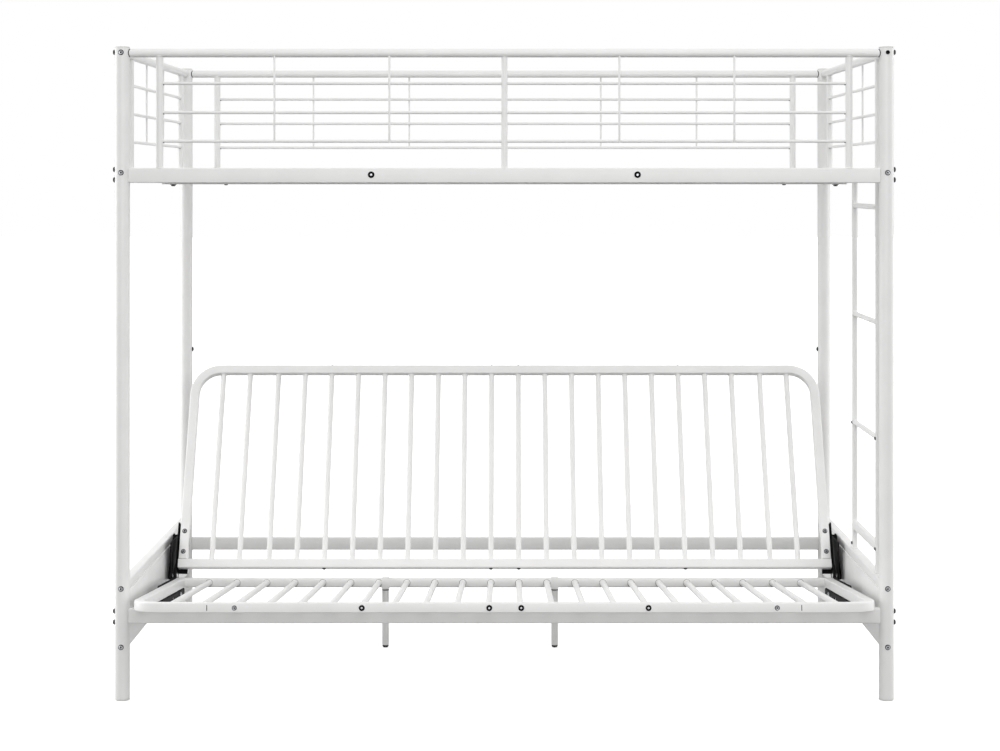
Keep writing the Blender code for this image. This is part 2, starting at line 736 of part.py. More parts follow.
def build_seat_brackets(seat):
    """Folded Z brackets along the seat's side tubes: ear and cover outside, web below, lip inside."""
    half_sheet = BRACKET_THICKNESS / 2
    tube_top = DECK_CENTRE + HALF_TUBE
    tube_low = DECK_CENTRE - HALF_TUBE
    plate = SEAT_PLATE_X + half_sheet
    lip = DECK_HALF_LENGTH - SQUARE_TUBE + half_sheet
    web = tube_low - TOUCH - half_sheet
    web_low = web - half_sheet
    above_bend = web + half_sheet + BRACKET_BEND
    lip_low = web_low - SEAT_BRACKET_LIP
    ear_top = PIN_V + EAR_RADIUS
    cover_top = tube_top + SEAT_BRACKET_COVER
    ear_front = PIN_U - EAR_RADIUS
    ear_rear = PIN_U + EAR_RADIUS
    ear_round = EAR_RADIUS - TOUCH
    notch_front = LIP_NOTCH_PLACE - LIP_NOTCH_WIDTH / 2
    notch_rear = LIP_NOTCH_PLACE + LIP_NOTCH_WIDTH / 2
    notch_top = lip_low + LIP_NOTCH_DEPTH
    contour = rounded(
        [
            (SEAT_BRACKET_WEB_FRONT, above_bend, 0),
            (SEAT_BRACKET_WEB_FRONT + SEAT_BRACKET_LIP, lip_low, SEAT_BRACKET_LIP / 2),
            (notch_front, lip_low, BRACKET_BEND),
            (notch_front, notch_top, BRACKET_BEND),
            (notch_rear, notch_top, BRACKET_BEND),
            (notch_rear, lip_low, BRACKET_BEND),
            (SEAT_BRACKET_WEB_REAR, lip_low, SEAT_BRACKET_LIP / 2),
            (SEAT_BRACKET_WEB_REAR, above_bend, 0),
            (SEAT_BRACKET_REAR, above_bend, ear_round),
            (SEAT_BRACKET_REAR, PIN_V, BRACKET_BEND),
            (ear_rear, PIN_V, 0),
            (ear_rear, ear_top, ear_round),
            (ear_front, ear_top, ear_round),
            (ear_front, cover_top, BRACKET_BEND),
            (SEAT_BRACKET_FRONT, cover_top, SEAT_BRACKET_LIP / 2),
            (SEAT_BRACKET_FRONT, above_bend, BRACKET_BEND),
        ]
    )
    eye = circle(PIN_U, PIN_V, PIN_DIAMETER + 2 * SLOT_CLEARANCE)
    lip_hole = circle(LIP_HOLE_PLACE, (lip_low + web_low) / 2, LIP_HOLE_DIAMETER)
    for label, side in (("left", -1), ("right", 1)):
        corners = [
            (side * plate, -ear_top - CUT_OVERRUN, 0),
            (side * plate, -web, BRACKET_BEND),
            (side * lip, -web, BRACKET_BEND),
            (side * lip, -lip_low + CUT_OVERRUN, 0),
        ]
        name = f"{label}_seat_bracket"
        part = folded_sheet(
            name,
            rounded(corners, closed=False),
            (1, 0),
            SEAT_BRACKET_WEB_FRONT - CUT_OVERRUN,
            SEAT_BRACKET_REAR + CUT_OVERRUN,
            seat,
            "black_steel",
        )
        whole = sorted((side * (lip - CUT_OVERRUN), side * (plate + CUT_OVERRUN)))
        trim(part, "INTERSECT", "contour", contour, whole, seat)
        outside = sorted((side * (plate - CUT_OVERRUN), side * (plate + CUT_OVERRUN)))
        trim(part, "DIFFERENCE", "eye", eye, outside, seat)
        lip_faces = sorted((side * (lip - CUT_OVERRUN), side * (lip + CUT_OVERRUN)))
        trim(part, "DIFFERENCE", "lip_hole", lip_hole, lip_faces, seat)


def build_hinge_pins(seat):
    """Pins through both decks' brackets and the guide slots, headed inside and clipped outside."""
    head_face = SEAT_PLATE_X - TOUCH
    clip_face = GUIDE_PLATE_X + BRACKET_THICKNESS + TOUCH
    length = clip_face + CLIP_HEIGHT - head_face
    profile = [
        (0, length),
        (PIN_DIAMETER / 2, length),
        (PIN_DIAMETER / 2, 0),
        (PIN_HEAD_DIAMETER / 2, 0),
        (PIN_HEAD_DIAMETER / 2, -PIN_HEAD_HEIGHT),
        (0, -PIN_HEAD_HEIGHT),
    ]
    hole = PIN_DIAMETER + 2 * TOUCH
    rings = [circle(PIN_U, PIN_V, CLIP_DIAMETER, PIN_SIDES), circle(PIN_U, PIN_V, hole, PIN_SIDES)]
    for label, side in (("left", -1), ("right", 1)):
        place = (side * head_face, PIN_U, PIN_V)
        name = f"{label}_hinge_pin"
        turned(name, profile, seat, place, (side, 0, 0), "zinc_steel", PIN_SIDES)
        faces = sorted((side * clip_face, side * (clip_face + CLIP_HEIGHT)))
        name = f"{label}_pin_clip"
        add_part(name, outline_mesh(name, rings, *faces), seat, "black_oxide_steel")


def build_legs(seat):
    """Centre legs under the seat's rear rail: they stand upright while the seat is tilted."""
    tilt = Matrix.Rotation(math.radians(SEAT_TILT_DEGREES), 3, "X")
    down = tilt @ Vector((0, 0, -1))
    rail_low = DECK_CENTRE - HALF_TUBE
    rail_top = DECK_CENTRE + HALF_TUBE
    lean = LEG_DIAMETER / 2 * math.tan(math.radians(SEAT_TILT_DEGREES))
    leg_head = Vector((0, SEAT_REAR, rail_low - TOUCH - lean))
    upright = tilt.inverted() @ leg_head
    leg_length = PIVOT_Z + upright.z - GLIDE_HEIGHT - GLIDE_CLEARANCE - TOUCH
    inner = HALF_TUBE + TOUCH
    outer = inner + SADDLE_THICKNESS
    top = rail_top + TOUCH
    skirt = rail_low - SADDLE_SKIRT
    saddle = rounded(
        [
            (SEAT_REAR - outer, skirt, 0),
            (SEAT_REAR - inner, skirt, 0),
            (SEAT_REAR - inner, top, 0),
            (SEAT_REAR + inner, top, 0),
            (SEAT_REAR + inner, skirt, 0),
            (SEAT_REAR + outer, skirt, 0),
            (SEAT_REAR + outer, top + SADDLE_THICKNESS, SADDLE_THICKNESS),
            (SEAT_REAR - outer, top + SADDLE_THICKNESS, SADDLE_THICKNESS),
        ]
    )
    glide = [
        (0, GLIDE_HEIGHT),
        (GLIDE_FOOT_DIAMETER / 2, GLIDE_HEIGHT),
        (GLIDE_DIAMETER / 2, GLIDE_HEIGHT - (GLIDE_DIAMETER - GLIDE_FOOT_DIAMETER) / 2),
        (GLIDE_DIAMETER / 2, 0),
        (0, 0),
    ]
    for label, x in zip(("left", "right"), LEG_PLACES):
        head = leg_head + Vector((x, 0, 0))
        foot = head + down * leg_length
        name = f"{label}_support_leg"
        leg = round_path(name, LEG_DIAMETER, [tuple(head), tuple(foot)])
        add_part(name, leg, seat, "white_powder_coat")
        place = foot + down * TOUCH
        name = f"{label}_leg_glide"
        turned(name, glide, seat, place, down, "black_plastic", GLIDE_SIDES)
        name = f"{label}_leg_saddle"
        mesh = outline_mesh(name, [saddle], x - SADDLE_WIDTH / 2, x + SADDLE_WIDTH / 2)
        add_part(name, mesh, seat, "white_powder_coat")


# Back deck, in its flat frame about the hinge pins


def build_back(back, square_section):
    low, top, v = BACK_RAIL_OFFSET, BACK_TOP, BACK_CENTRE
    rail_top = low + HALF_TUBE
    line = [(-SIDE_TUBE_X, rail_top + TOUCH)]
    line += reversed(bent_corner(-1, top, low))
    line += bent_corner(1, top, low)
    line += [(SIDE_TUBE_X, rail_top + TOUCH)]
    tube = square_path("back_bent_tube", square_section, [(x, u, v) for x, u in line])
    add_part("back_bent_tube", tube, back, "white_powder_coat")
    low_run = [(-DECK_HALF_LENGTH, low, v), (DECK_HALF_LENGTH, low, v)]
    members = [square_path("back_bottom_rail", square_section, low_run)]
    slat_ends = (rail_top - WELD_SINK, top - HALF_TUBE - TOUCH)
    for x in slat_places():
        members.append(round_path("back_slat", SLAT_DIAMETER, [(x, u, v) for u in slat_ends]))
    weld("back_slat_grid", [closed_mesh(member) for member in members], back)


def build_back_brackets(back):
    """Folded angle brackets on the back's side tubes: an eye plate outside, a bolted flange behind."""
    half_sheet = BRACKET_THICKNESS / 2
    plate = BACK_PLATE_X + half_sheet
    tube_front = BACK_CENTRE + HALF_TUBE
    tube_rear = BACK_CENTRE - HALF_TUBE
    flange = tube_rear - TOUCH - half_sheet
    before_bend = flange + half_sheet + BRACKET_BEND
    behind = flange - half_sheet - CUT_OVERRUN
    flange_inner = plate - BACK_FLANGE_WIDTH
    eye_round = EAR_RADIUS - TOUCH
    contour = rounded(
        [
            (-EAR_RADIUS, EAR_RADIUS, eye_round),
            (-EAR_RADIUS, -EAR_RADIUS, eye_round),
            (BACK_TONGUE_START - BACK_FLANGE_TAPER, before_bend, BRACKET_BEND),
            (BACK_TONGUE_START, before_bend, 0),
            (BACK_TONGUE_START, behind, 0),
            (BACK_BRACKET_END, behind, 0),
            (BACK_BRACKET_END, tube_front, EAR_RADIUS / 2),
            (BACK_RAIL_OFFSET, tube_front, EAR_RADIUS),
            (EAR_RADIUS, EAR_RADIUS, eye_round / 2),
        ]
    )
    eye = circle(0, 0, PIN_DIAMETER + 2 * SLOT_CLEARANCE)
    rail_relief = [
        (BACK_TONGUE_START - CUT_OVERRUN, before_bend),
        (BACK_TONGUE_START - CUT_OVERRUN, behind - CUT_OVERRUN),
        (BACK_FLANGE_START, behind - CUT_OVERRUN),
        (BACK_FLANGE_START, before_bend),
    ]
    for label, side in (("left", -1), ("right", 1)):
        corners = [
            (side * plate, -EAR_RADIUS - CUT_OVERRUN, 0),
            (side * plate, -flange, BRACKET_BEND),
            (side * flange_inner, -flange, 0),
        ]
        name = f"{label}_back_bracket"
        part = folded_sheet(
            name,
            rounded(corners, closed=False),
            (1, 0),
            -EAR_RADIUS - CUT_OVERRUN,
            BACK_BRACKET_END + CUT_OVERRUN,
            back,
            "black_steel",
        )
        whole = sorted((side * (flange_inner - CUT_OVERRUN), side * (plate + CUT_OVERRUN)))
        trim(part, "INTERSECT", "contour", contour, whole, back)
        outside = sorted((side * (plate - CUT_OVERRUN), side * (plate + CUT_OVERRUN)))
        trim(part, "DIFFERENCE", "eye", eye, outside, back)
        beside_rail = sorted((side * (flange_inner - CUT_OVERRUN), side * SEAT_PLATE_X))
        trim(part, "DIFFERENCE", "rail_relief", rail_relief, beside_rail, back)


def stand_on_origin(root):
    """Moves the whole bed so that the middle of its outline's bottom is the origin."""
    bpy.context.view_layer.update()
    scene_graph = bpy.context.evaluated_depsgraph_get()
    corners = []
    for part in PARTS.objects:
        if part.type == "EMPTY":
            continue
        evaluated = part.evaluated_get(scene_graph)
        mesh = evaluated.to_mesh()
        corners += [evaluated.matrix_world @ vertex.co for vertex in mesh.vertices]
        evaluated.to_mesh_clear()
    low = [min(corner[axis] for corner in corners) for axis in range(3)]
    high = [max(corner[axis] for corner in corners) for axis in range(3)]
    root.location = (-(low[0] + high[0]) / 2, -(low[1] + high[1]) / 2, -low[2])
    bpy.context.view_layer.update()


def build_bed():
    root = add_empty("bed", None, (0, 0, 0))
    seat = add_empty("seat_axis", root, (0, PIVOT_Y, PIVOT_Z), -SEAT_TILT_DEGREES)
    back = add_empty("back_axis", seat, (0, PIN_U, PIN_V), BACK_FOLD_DEGREES)
    rail_section = tube_section("rail_section", RAIL_DEPTH, RAIL_HEIGHT)
    square_section = tube_section("square_tube_section", SQUARE_TUBE, SQUARE_TUBE)
    build_posts(root)
    build_rails(root, rail_section, square_section)
    build_bunk_base(root, square_section)
    build_guards(root)
    build_ladder(root)
    build_end_frames(root, square_section)
    build_guide_brackets(root)
    build_seat(seat, square_section)
    build_seat_brackets(seat)
    build_hinge_pins(seat)
    build_legs(seat)
    build_back(back, square_section)
    build_back_brackets(back)
    stand_on_origin(root)


build_bed()
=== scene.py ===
"""Looks of the futon bunk bed.

White powder-coated steel tube, black pressed hinge brackets, and the bolts, screws and weld beads that
hold the bed together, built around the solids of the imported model.

X runs along the bed, the front faces -Y and Z is up. Places on the fixed frame count Y from the front posts'
middle plane. Places on the two decks are in their own flat frames: u runs rearward in the deck, v stands up.
"""

import json
import math

import bmesh
import bpy
from mathutils import Matrix, Vector


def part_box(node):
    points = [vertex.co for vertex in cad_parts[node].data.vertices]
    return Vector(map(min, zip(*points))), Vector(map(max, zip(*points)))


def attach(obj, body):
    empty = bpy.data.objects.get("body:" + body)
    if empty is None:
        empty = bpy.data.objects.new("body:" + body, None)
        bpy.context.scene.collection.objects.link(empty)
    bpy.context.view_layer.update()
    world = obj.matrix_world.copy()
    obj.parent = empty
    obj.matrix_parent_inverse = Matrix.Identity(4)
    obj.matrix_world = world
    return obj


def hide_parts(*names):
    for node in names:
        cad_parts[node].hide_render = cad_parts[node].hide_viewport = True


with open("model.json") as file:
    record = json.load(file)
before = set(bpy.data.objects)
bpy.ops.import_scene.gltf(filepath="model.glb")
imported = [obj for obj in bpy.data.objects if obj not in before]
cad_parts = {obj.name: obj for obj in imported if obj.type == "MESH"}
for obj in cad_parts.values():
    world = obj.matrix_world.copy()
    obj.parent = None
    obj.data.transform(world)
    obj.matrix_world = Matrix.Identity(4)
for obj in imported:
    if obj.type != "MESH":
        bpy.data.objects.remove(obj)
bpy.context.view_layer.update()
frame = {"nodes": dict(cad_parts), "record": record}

# Where the solids stand
POST_LOW, POST_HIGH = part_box("front_right_post")
FRONT_Y = (POST_LOW.y + POST_HIGH.y) / 2
POST_X = (POST_LOW.x + POST_HIGH.x) / 2
POST_RADIUS = (POST_HIGH.x - POST_LOW.x) / 2
POST_FOOT = POST_LOW.z
POST_TOP = POST_HIGH.z
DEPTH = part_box("rear_right_post")[0].y - POST_LOW.y

# Tube and sheet sizes, in metres
RAIL_HEIGHT = 0.038
RAIL_DEPTH = 0.020
LOWER_RAIL_TOP = 0.2333
BUNK_RAIL_TOP = 1.351
SQUARE_TUBE = 0.0254
TUBE_CORNER = 0.0032
HALF_TUBE = SQUARE_TUBE / 2
SLAT_RADIUS = 0.008
CAP_HEIGHT = 0.003
FOOT_HEIGHT = 0.004

# Gaps between pieces, and how far welded bars reach into each other
TOUCH = 0.0003
RAIL_GAP = 0.0009
POST_FIT = 0.0002
SUNK = 0.001

# A tube's end is shaped to a post where it lies this near the post's face
POST_END_REACH = 0.004

# Guards
GUARD_TOP = 1.643
GUARD_TOP_RADIUS = 0.011
UPRIGHT_RADIUS = 0.009
MIDDLE_RADIUS = 0.00775
ROD_RADIUS = 0.004
STIFFENER_RADIUS = 0.00275
ROD_LIFTS = (0.068, 0.141, 0.215)
UPRIGHT_INSET = 0.095
END_UPRIGHT_INSET = 0.107
GUARD_WALL = 0.0015
GUARD_GAP = 0.0026
PLUG_LENGTH = 0.012
ROD_BEAD = 0.0013
ROD_BEAD_BITE = 0.0006
# A dark ring just under a rod's end at an outer upright is painted shade under its weld
WELD_SHADE_BITE = 0.0008
WELD_SHADE_LENGTH = 0.0036
WELD_SHADE_DROP = 0.0015
WELD_SHADE_RADIUS = ROD_RADIUS * 0.8

# Bunk base
LEDGE_DROP = 0.0034
LEDGE_SEAT = 0.025
LEDGE_LEG = 0.032
LEDGE_THICKNESS = 0.0025
LEDGE_HALF_LENGTH = 0.872
BUNK_SLAT_PITCH = 0.082
BUNK_SLATS_EACH_WAY = 10

# Ladder and end frames
LADDER_FRONT = 0.110
LADDER_REAR = 0.454
LADDER_RADIUS = 0.008
RUNG_RADIUS = 0.007
RUNG_HEIGHTS = (0.650, 0.950, 1.250)
STEP_CENTRE = 0.367
STEP_HEIGHT = 0.025
STEP_DEPTH = 0.014
END_TOP_CENTRE = 0.2868
END_LOW_CENTRE = 0.137
END_LOW_TUBE = 0.019
PANEL_THICKNESS = 0.002
PANEL_BOTTOM = 0.132
END_LOW_CORNER = 0.0025
SHEET_EDGE = 0.0006

# Futon decks
DECK_HALF_LENGTH = 0.928
DECK_CORNER_RADIUS = 0.087
SLAT_PITCH = 0.079
SLATS_PER_SIDE = 9
OUTER_SLATS = (0.7555, 0.8345)
SEAT_SEAM = 0.734
SEAM_GAP = 0.0010
SEAM_FIT = 0.00002
SEAM_LIP = 0.00025
# Dark bars across the seams paint the shade in the seams' gaps
SEAM_SHADE_HALF_HEIGHT = 0.0070
SEAM_SHADE_OVERLAP = 0.0005
SEAM_SHADE_PROUD = 0.0001
WELD_EDGE_INNER = SLAT_RADIUS + 0.0010
WELD_EDGE_OUTER = SLAT_RADIUS + 0.0020
SEAT_FRONT = 0.1475
SEAT_REAR = 0.5542
SEAT_TILT = math.radians(6.62)
BACK_FOLD = math.radians(71.22)
PIN_FROM_REAR_RAIL = 0.0028
PIN_LIFT = 0.0076
DECK_CENTRE = HALF_TUBE + TOUCH
PIN_U = SEAT_REAR - PIN_FROM_REAR_RAIL
PIN_V = DECK_CENTRE + HALF_TUBE + PIN_LIFT
BACK_RAIL = 0.0375
BACK_TOP = 0.6205
BACK_CENTRE = DECK_CENTRE - PIN_V
SIDE_TUBE_X = DECK_HALF_LENGTH - HALF_TUBE

# Centre legs
LEG_RADIUS = 0.0095
LEG_FOOT_HEIGHT = 0.0070
LEG_FOOT_RADIUS = LEG_RADIUS - 0.0008
# A thin black ring under each leg's saddle paints the shade below the saddle's edge
LEG_SADDLE_SHADE_HEIGHT = 0.0022
LEG_SADDLE_SHADE_RADIUS = LEG_RADIUS + 0.0005

# Places of the fasteners: heights on the posts, the bunk's rail and the ladder
POST_FACE_BOLTS = (1.6440, 1.3390, 0.2850, 0.1370)
POST_END_BOLTS = (1.6450, 1.3470, 1.3210, 0.2250, 0.1970)
BACKSTOP_SCREW = 0.8057
BUNK_BOLT_HEIGHT = 1.3340
FRONT_LADDER_SCREWS = (0.649, 0.362)
REAR_LADDER_SCREWS = (0.649, 0.315)

# Places along the bed, and in a deck's own frame
BUNK_BOLT_X = 0.338
LEDGE_BOLT_X = 0.846
LEDGE_BOLT_INSET = 0.0158
SEAT_BOLTS_X = (-0.3515, -0.0370, 0.0420, 0.3560)
SEAM_SCREWS_X = (-0.6660, 0.6735)
LIP_BOLT = (0.468, -0.0115)
BACK_SIDE_BOLTS_U = (0.0708, 0.1300)
BACK_STUDS_X = (-0.5135, -0.0395, 0.0395, 0.5135)

# Heads with a socket: radius, height, half width and depth of the socket
POST_END_HEAD = (0.0070, 0.0052, 0.0028, 0.0026)
BACKSTOP_HEAD = (0.0070, 0.0042, 0.0028, 0.0026)
BLACK_POST_HEAD = (0.0054, 0.0036, 0.0026, 0.0024)
LEDGE_HEAD = (0.0060, 0.0042, 0.0022, 0.0016)
LADDER_HEAD = (0.0046, 0.0030, 0.0018, 0.0014)
SEAT_REAR_HEAD = (0.0050, 0.0036, 0.0020, 0.0014)
LIP_HEAD = (0.0058, 0.0046, 0.0025, 0.0022)
BACK_RAIL_HEAD = (0.0052, 0.0030, 0.0020, 0.0014)

# Washers: outer radius, inner radius and height
LEDGE_WASHER = (0.0085, 0.0030, 0.0012)
SEAT_REAR_WASHER = (0.0080, 0.0030, 0.0012)

# Outer radii of the dark rings that paint the shadow gap under zinc heads, and of the collars that carry zinc
# heads
POST_RIM = 0.0070
BACK_RIM = 0.0068
SEAM_RIM = 0.0062
BUNK_COLLAR = 0.0084
SEAT_COLLAR = 0.0073

# How deep a head sits in a round tube, and the studs on the back's top tube
HEAD_SINK = 0.0006
STUD_RADIUS = 0.0024
STUD_HEIGHT = 0.0050

# Camera and floor
CAMERA_SIDE = 0.010
CAMERA_DISTANCE = 5.0
CAMERA_HEIGHT = 1.3205
CAMERA_SHIFT = (-0.0083, -0.1955)
SENSOR_MM = 36
FOCAL_MM = 70.81
FLOOR_SIZE = 60
FLOOR_CENTRE = (0, 10, -0.0002)
BRIGHT_PAPER = (1.2, 1.9)

# Fineness of the shapes
POST_SIDES = 72
TUBE_SIDES = 32
ROD_SIDES = 20
BEND_STEPS = 20
CORNER_SEGMENTS = 4
SMOOTH_BELOW = math.radians(32)

# Frames of the fixed part and of the two decks in the sofa position
FIXED = Matrix.Translation((0, FRONT_Y, 0))
SEAT = FIXED @ Matrix.Translation((0, RAIL_DEPTH / 2, LOWER_RAIL_TOP)) @ Matrix.Rotation(-SEAT_TILT, 4, "X")
BACK = SEAT @ Matrix.Translation((0, PIN_U, PIN_V)) @ Matrix.Rotation(BACK_FOLD, 4, "X")


# Camera: level, in front of the bed, at the height of the bunk


def build_camera():
    lens = bpy.data.cameras.new("photo_camera")
    lens.sensor_width = SENSOR_MM
    lens.lens = FOCAL_MM
    lens.shift_x, lens.shift_y = CAMERA_SHIFT
    lens.clip_end = 100
    camera = bpy.data.objects.new("photo_camera", lens)
    camera.location = (CAMERA_SIDE, FRONT_Y - CAMERA_DISTANCE, CAMERA_HEIGHT)
    camera.rotation_euler = (math.radians(90), 0, 0)
    bpy.context.scene.collection.objects.link(camera)
    bpy.context.scene.camera = camera


# Materials


def linear(hex_colour):
    """sRGB hex to linear colour with alpha."""
    channels = [int(hex_colour[i : i + 2], 16) / 255 for i in (1, 3, 5)]
    return (*(c / 12.92 if c <= 0.04045 else ((c + 0.055) / 1.055) ** 2.4 for c in channels), 1.0)


def add_node(tree, kind, settings=None, links=None, values=None):
    """Adds a node, sets its attributes and socket values, and links its inputs."""
    node = tree.nodes.new(kind)
    for name, value in (settings or {}).items():
        setattr(node, name, value)
    for name, value in (values or {}).items():
        node.inputs[name].default_value = value
    for name, source in (links or {}).items():
        tree.links.new(source, node.inputs[name])
    return node


def new_finish(name, metallic, roughness, ior=None):
    finish = bpy.data.materials.new(name)
    finish.use_nodes = True
    tree = finish.node_tree
    shader = tree.nodes["Principled BSDF"]
    shader.inputs["Metallic"].default_value = metallic
    shader.inputs["Roughness"].default_value = roughness
    if ior:
        shader.inputs["IOR"].default_value = ior
    return finish, tree, shader


def coated_finish(name, shades, metallic, roughness, spread, grain_mm, grain_height, blotch_mm, ior=None):
    """A finish whose colour drifts a little between two shades and whose surface has a fine orange peel.

    grain_mm is the size of the peel's cells and blotch_mm that of the drift in shade; spread is how far the
    roughness moves to both sides.
    """
    low, high = shades
    finish, tree, shader = new_finish(name, metallic, roughness, ior)
    place = add_node(tree, "ShaderNodeTexCoord").outputs["Object"]
    blotch = add_node(
        tree,
        "ShaderNodeTexNoise",
        links={"Vector": place},
        values={"Scale": 1000 / blotch_mm, "Detail": 3.0, "Roughness": 0.55},
    ).outputs["Fac"]
    ramp = add_node(tree, "ShaderNodeValToRGB", links={"Fac": blotch})
    ramp.color_ramp.elements[0].position = 0.35
    ramp.color_ramp.elements[0].color = linear(low)
    ramp.color_ramp.elements[1].position = 0.65
    ramp.color_ramp.elements[1].color = linear(high)
    tree.links.new(ramp.outputs["Color"], shader.inputs["Base Color"])
    grain = add_node(
        tree,
        "ShaderNodeTexNoise",
        links={"Vector": place},
        values={"Scale": 1000 / grain_mm, "Detail": 2.0, "Roughness": 0.5},
    ).outputs["Fac"]
    gloss = add_node(
        tree,
        "ShaderNodeMapRange",
        links={"Value": grain},
        values={"From Min": 0.3, "From Max": 0.7, "To Min": roughness - spread, "To Max": roughness + spread},
    ).outputs["Result"]
    tree.links.new(gloss, shader.inputs["Roughness"])
    bump = add_node(
        tree,
        "ShaderNodeBump",
        links={"Height": grain},
        values={"Strength": 0.35, "Distance": grain_height},
    ).outputs["Normal"]
    tree.links.new(bump, shader.inputs["Normal"])
    return finish


def build_finishes():
    """Every finish on the bed, by its common name."""
    return {
        # Semi-gloss polyester powder, baked on: a warm white film with a soft sheen. Its real orange peel is
        # about 1 mm across, too fine for the render, so it is drawn at 5 mm.
        "white_powder_coat": coated_finish(
            "semi_gloss_white_powder_coat",
            ("#E5E5E4", "#E9E9E8"),
            metallic=0.0,
            roughness=0.40,
            spread=0.05,
            grain_mm=5.0,
            grain_height=0.00006,
            blotch_mm=90.0,
            ior=1.5,
        ),
        # Pressed sheet steel, dipped black: a dull, nearly black film with a faint mottle from the press oil.
        # Its low IOR keeps the bright studio out of faces seen edge-on.
        "black_steel": coated_finish(
            "dull_black_dipped_steel",
            ("#0D0D0E", "#151516"),
            metallic=0.0,
            roughness=0.66,
            spread=0.08,
            grain_mm=2.5,
            grain_height=0.00005,
            blotch_mm=30.0,
            ior=1.14,
        ),
        # Heat-blackened bolts and clips: nearly black, with a soft gloss on the edges. It also draws the dark
        # rings round the seat slats' rear welds, and the rims and seam bars that paint shade.
        "black_oxide_steel": coated_finish(
            "black_oxide_fastener_steel",
            ("#0C0C0D", "#141415"),
            metallic=0.0,
            roughness=0.42,
            spread=0.06,
            grain_mm=1.5,
            grain_height=0.00002,
            blotch_mm=8.0,
            ior=1.4,
        ),
        # Bright zinc plate on pins and bolts: pale grey metal, slightly brushed by the tumbling barrel.
        "zinc_steel": coated_finish(
            "bright_zinc_plated_steel",
            ("#85878A", "#A6A8AA"),
            metallic=1.0,
            roughness=0.26,
            spread=0.07,
            grain_mm=1.2,
            grain_height=0.00002,
            blotch_mm=4.0,
        ),
        # Moulded polyethylene caps and feet: matte white, a touch warmer than the powder coat.
        "white_plastic": coated_finish(
            "moulded_white_polyethylene",
            ("#DEDEDA", "#E4E4E0"),
            metallic=0.0,
            roughness=0.52,
            spread=0.04,
            grain_mm=3.0,
            grain_height=0.00005,
            blotch_mm=20.0,
            ior=1.5,
        ),
        # Moulded plugs in the guards' tubes and the glides of the centre legs: matte black. It also draws the
        # thin rings that paint the shade under the legs' saddles.
        "black_plastic": coated_finish(
            "moulded_black_polyethylene",
            ("#141414", "#1C1C1C"),
            metallic=0.0,
            roughness=0.55,
            spread=0.06,
            grain_mm=2.0,
            grain_height=0.00005,
            blotch_mm=15.0,
            ior=1.5,
        ),
    }


# Shapes


def finish_piece(name, shape, finish, body, nodes=()):
    """Turns a shape into a piece of the bed that rides on a body and stands for its solids."""
    bmesh.ops.remove_doubles(shape, verts=shape.verts, dist=0.000001)
    bmesh.ops.recalc_face_normals(shape, faces=shape.faces)
    mesh = bpy.data.meshes.new(name)
    shape.to_mesh(mesh)
    shape.free()
    mesh.shade_smooth()
    mesh.set_sharp_from_angle(angle=SMOOTH_BELOW)
    mesh.materials.append(FINISHES[finish])
    piece = bpy.data.objects.new(name, mesh)
    bpy.context.scene.collection.objects.link(piece)
    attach(piece, body)
    if nodes:
        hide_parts(*nodes)


def bevel(shape, edges, width, segments=CORNER_SEGMENTS):
    """Rounds edges to a width."""
    bmesh.ops.bevel(
        shape,
        geom=edges,
        offset=width,
        segments=segments,
        profile=0.5,
        affect="EDGES",
        material=-1,
        clamp_overlap=True,
    )


def rod(shape, start, end, radius, sides=TUBE_SIDES, rim=0.0):
    """Round bar between two points; rim rounds the edges of its ends."""
    start, end = Vector(start), Vector(end)
    along = end - start
    place = Matrix.Translation((start + end) / 2) @ along.to_track_quat("Z", "Y").to_matrix().to_4x4()
    made = bmesh.ops.create_cone(
        shape,
        cap_ends=True,
        segments=sides,
        radius1=radius,
        radius2=radius,
        depth=along.length,
        matrix=place,
    )["verts"]
    if rim:
        ends = {f for v in made for f in v.link_faces if len(f.verts) == sides}
        bevel(shape, list({e for f in ends for e in f.edges}), rim, 2)


def bar(shape, low, high, corner=TUBE_CORNER, along=0, segments=CORNER_SEGMENTS):
    """Straight rectangular tube between two corners of its box, its long edges rounded."""
    low, high = Vector(low), Vector(high)
    size = high - low
    place = Matrix.Translation((low + high) / 2) @ Matrix.Diagonal((*size, 1))
    made = bmesh.ops.create_cube(shape, size=1, matrix=place)["verts"]
    edges = {e for v in made for e in v.link_edges}
    long_edges = [e for e in edges if abs((e.verts[0].co - e.verts[1].co)[along]) > size[along] / 2]
    bevel(shape, long_edges, corner, segments)


def turned(shape, profile, place, direction=(0, 0, 1), sides=TUBE_SIDES, ring=False):
    """Round solid: a profile of (radius, height) turned about a direction through its place."""
    known = set(shape.verts)
    corners = [shape.verts.new((radius, 0, height)) for radius, height in profile]
    pairs = list(zip(corners, corners[1:]))
    if ring:
        pairs.append((corners[-1], corners[0]))
    edges = [shape.edges.new(pair) for pair in pairs]
    bmesh.ops.spin(
        shape,
        geom=corners + edges,
        cent=(0, 0, 0),
        axis=(0, 0, 1),
        angle=math.tau,
        steps=sides,
        use_merge=True,
    )
    made = [v for v in shape.verts if v not in known]
    poles = [v for v in made if v.co.xy.length < 0.0000001]
    turn = Vector(direction).to_track_quat("Z", "Y").to_matrix().to_4x4()
    bmesh.ops.transform(shape, matrix=Matrix.Translation(place) @ turn, verts=made)
    bmesh.ops.remove_doubles(shape, verts=poles, dist=0.0000005)


def open_tube(shape, start, end, radius, wall, depth, sides=TUBE_SIDES):
    """Round tube between two points, hollow to a depth at both ends."""
    start, end = Vector(start), Vector(end)
    length = (end - start).length
    inner = radius - wall
    profile = [(0, depth), (inner, depth), (inner, 0), (radius, 0)]
    profile += [(r, length - height) for r, height in reversed(profile)]
    turned(shape, profile, start, end - start, sides)


def weld_bead(shape, place, direction, radius, bead=0.0016, sides=20):
    """Bead of weld metal round a bar that stands on a surface, along the direction."""
    profile = [
        (radius - bead / 3, bead),
        (radius + bead * 0.35, bead * 0.8),
        (radius + bead * 0.85, bead * 0.3),
        (radius + bead, -bead / 4),
        (radius - bead / 3, -bead / 4),
    ]
    turned(shape, profile, place, direction, sides, ring=True)


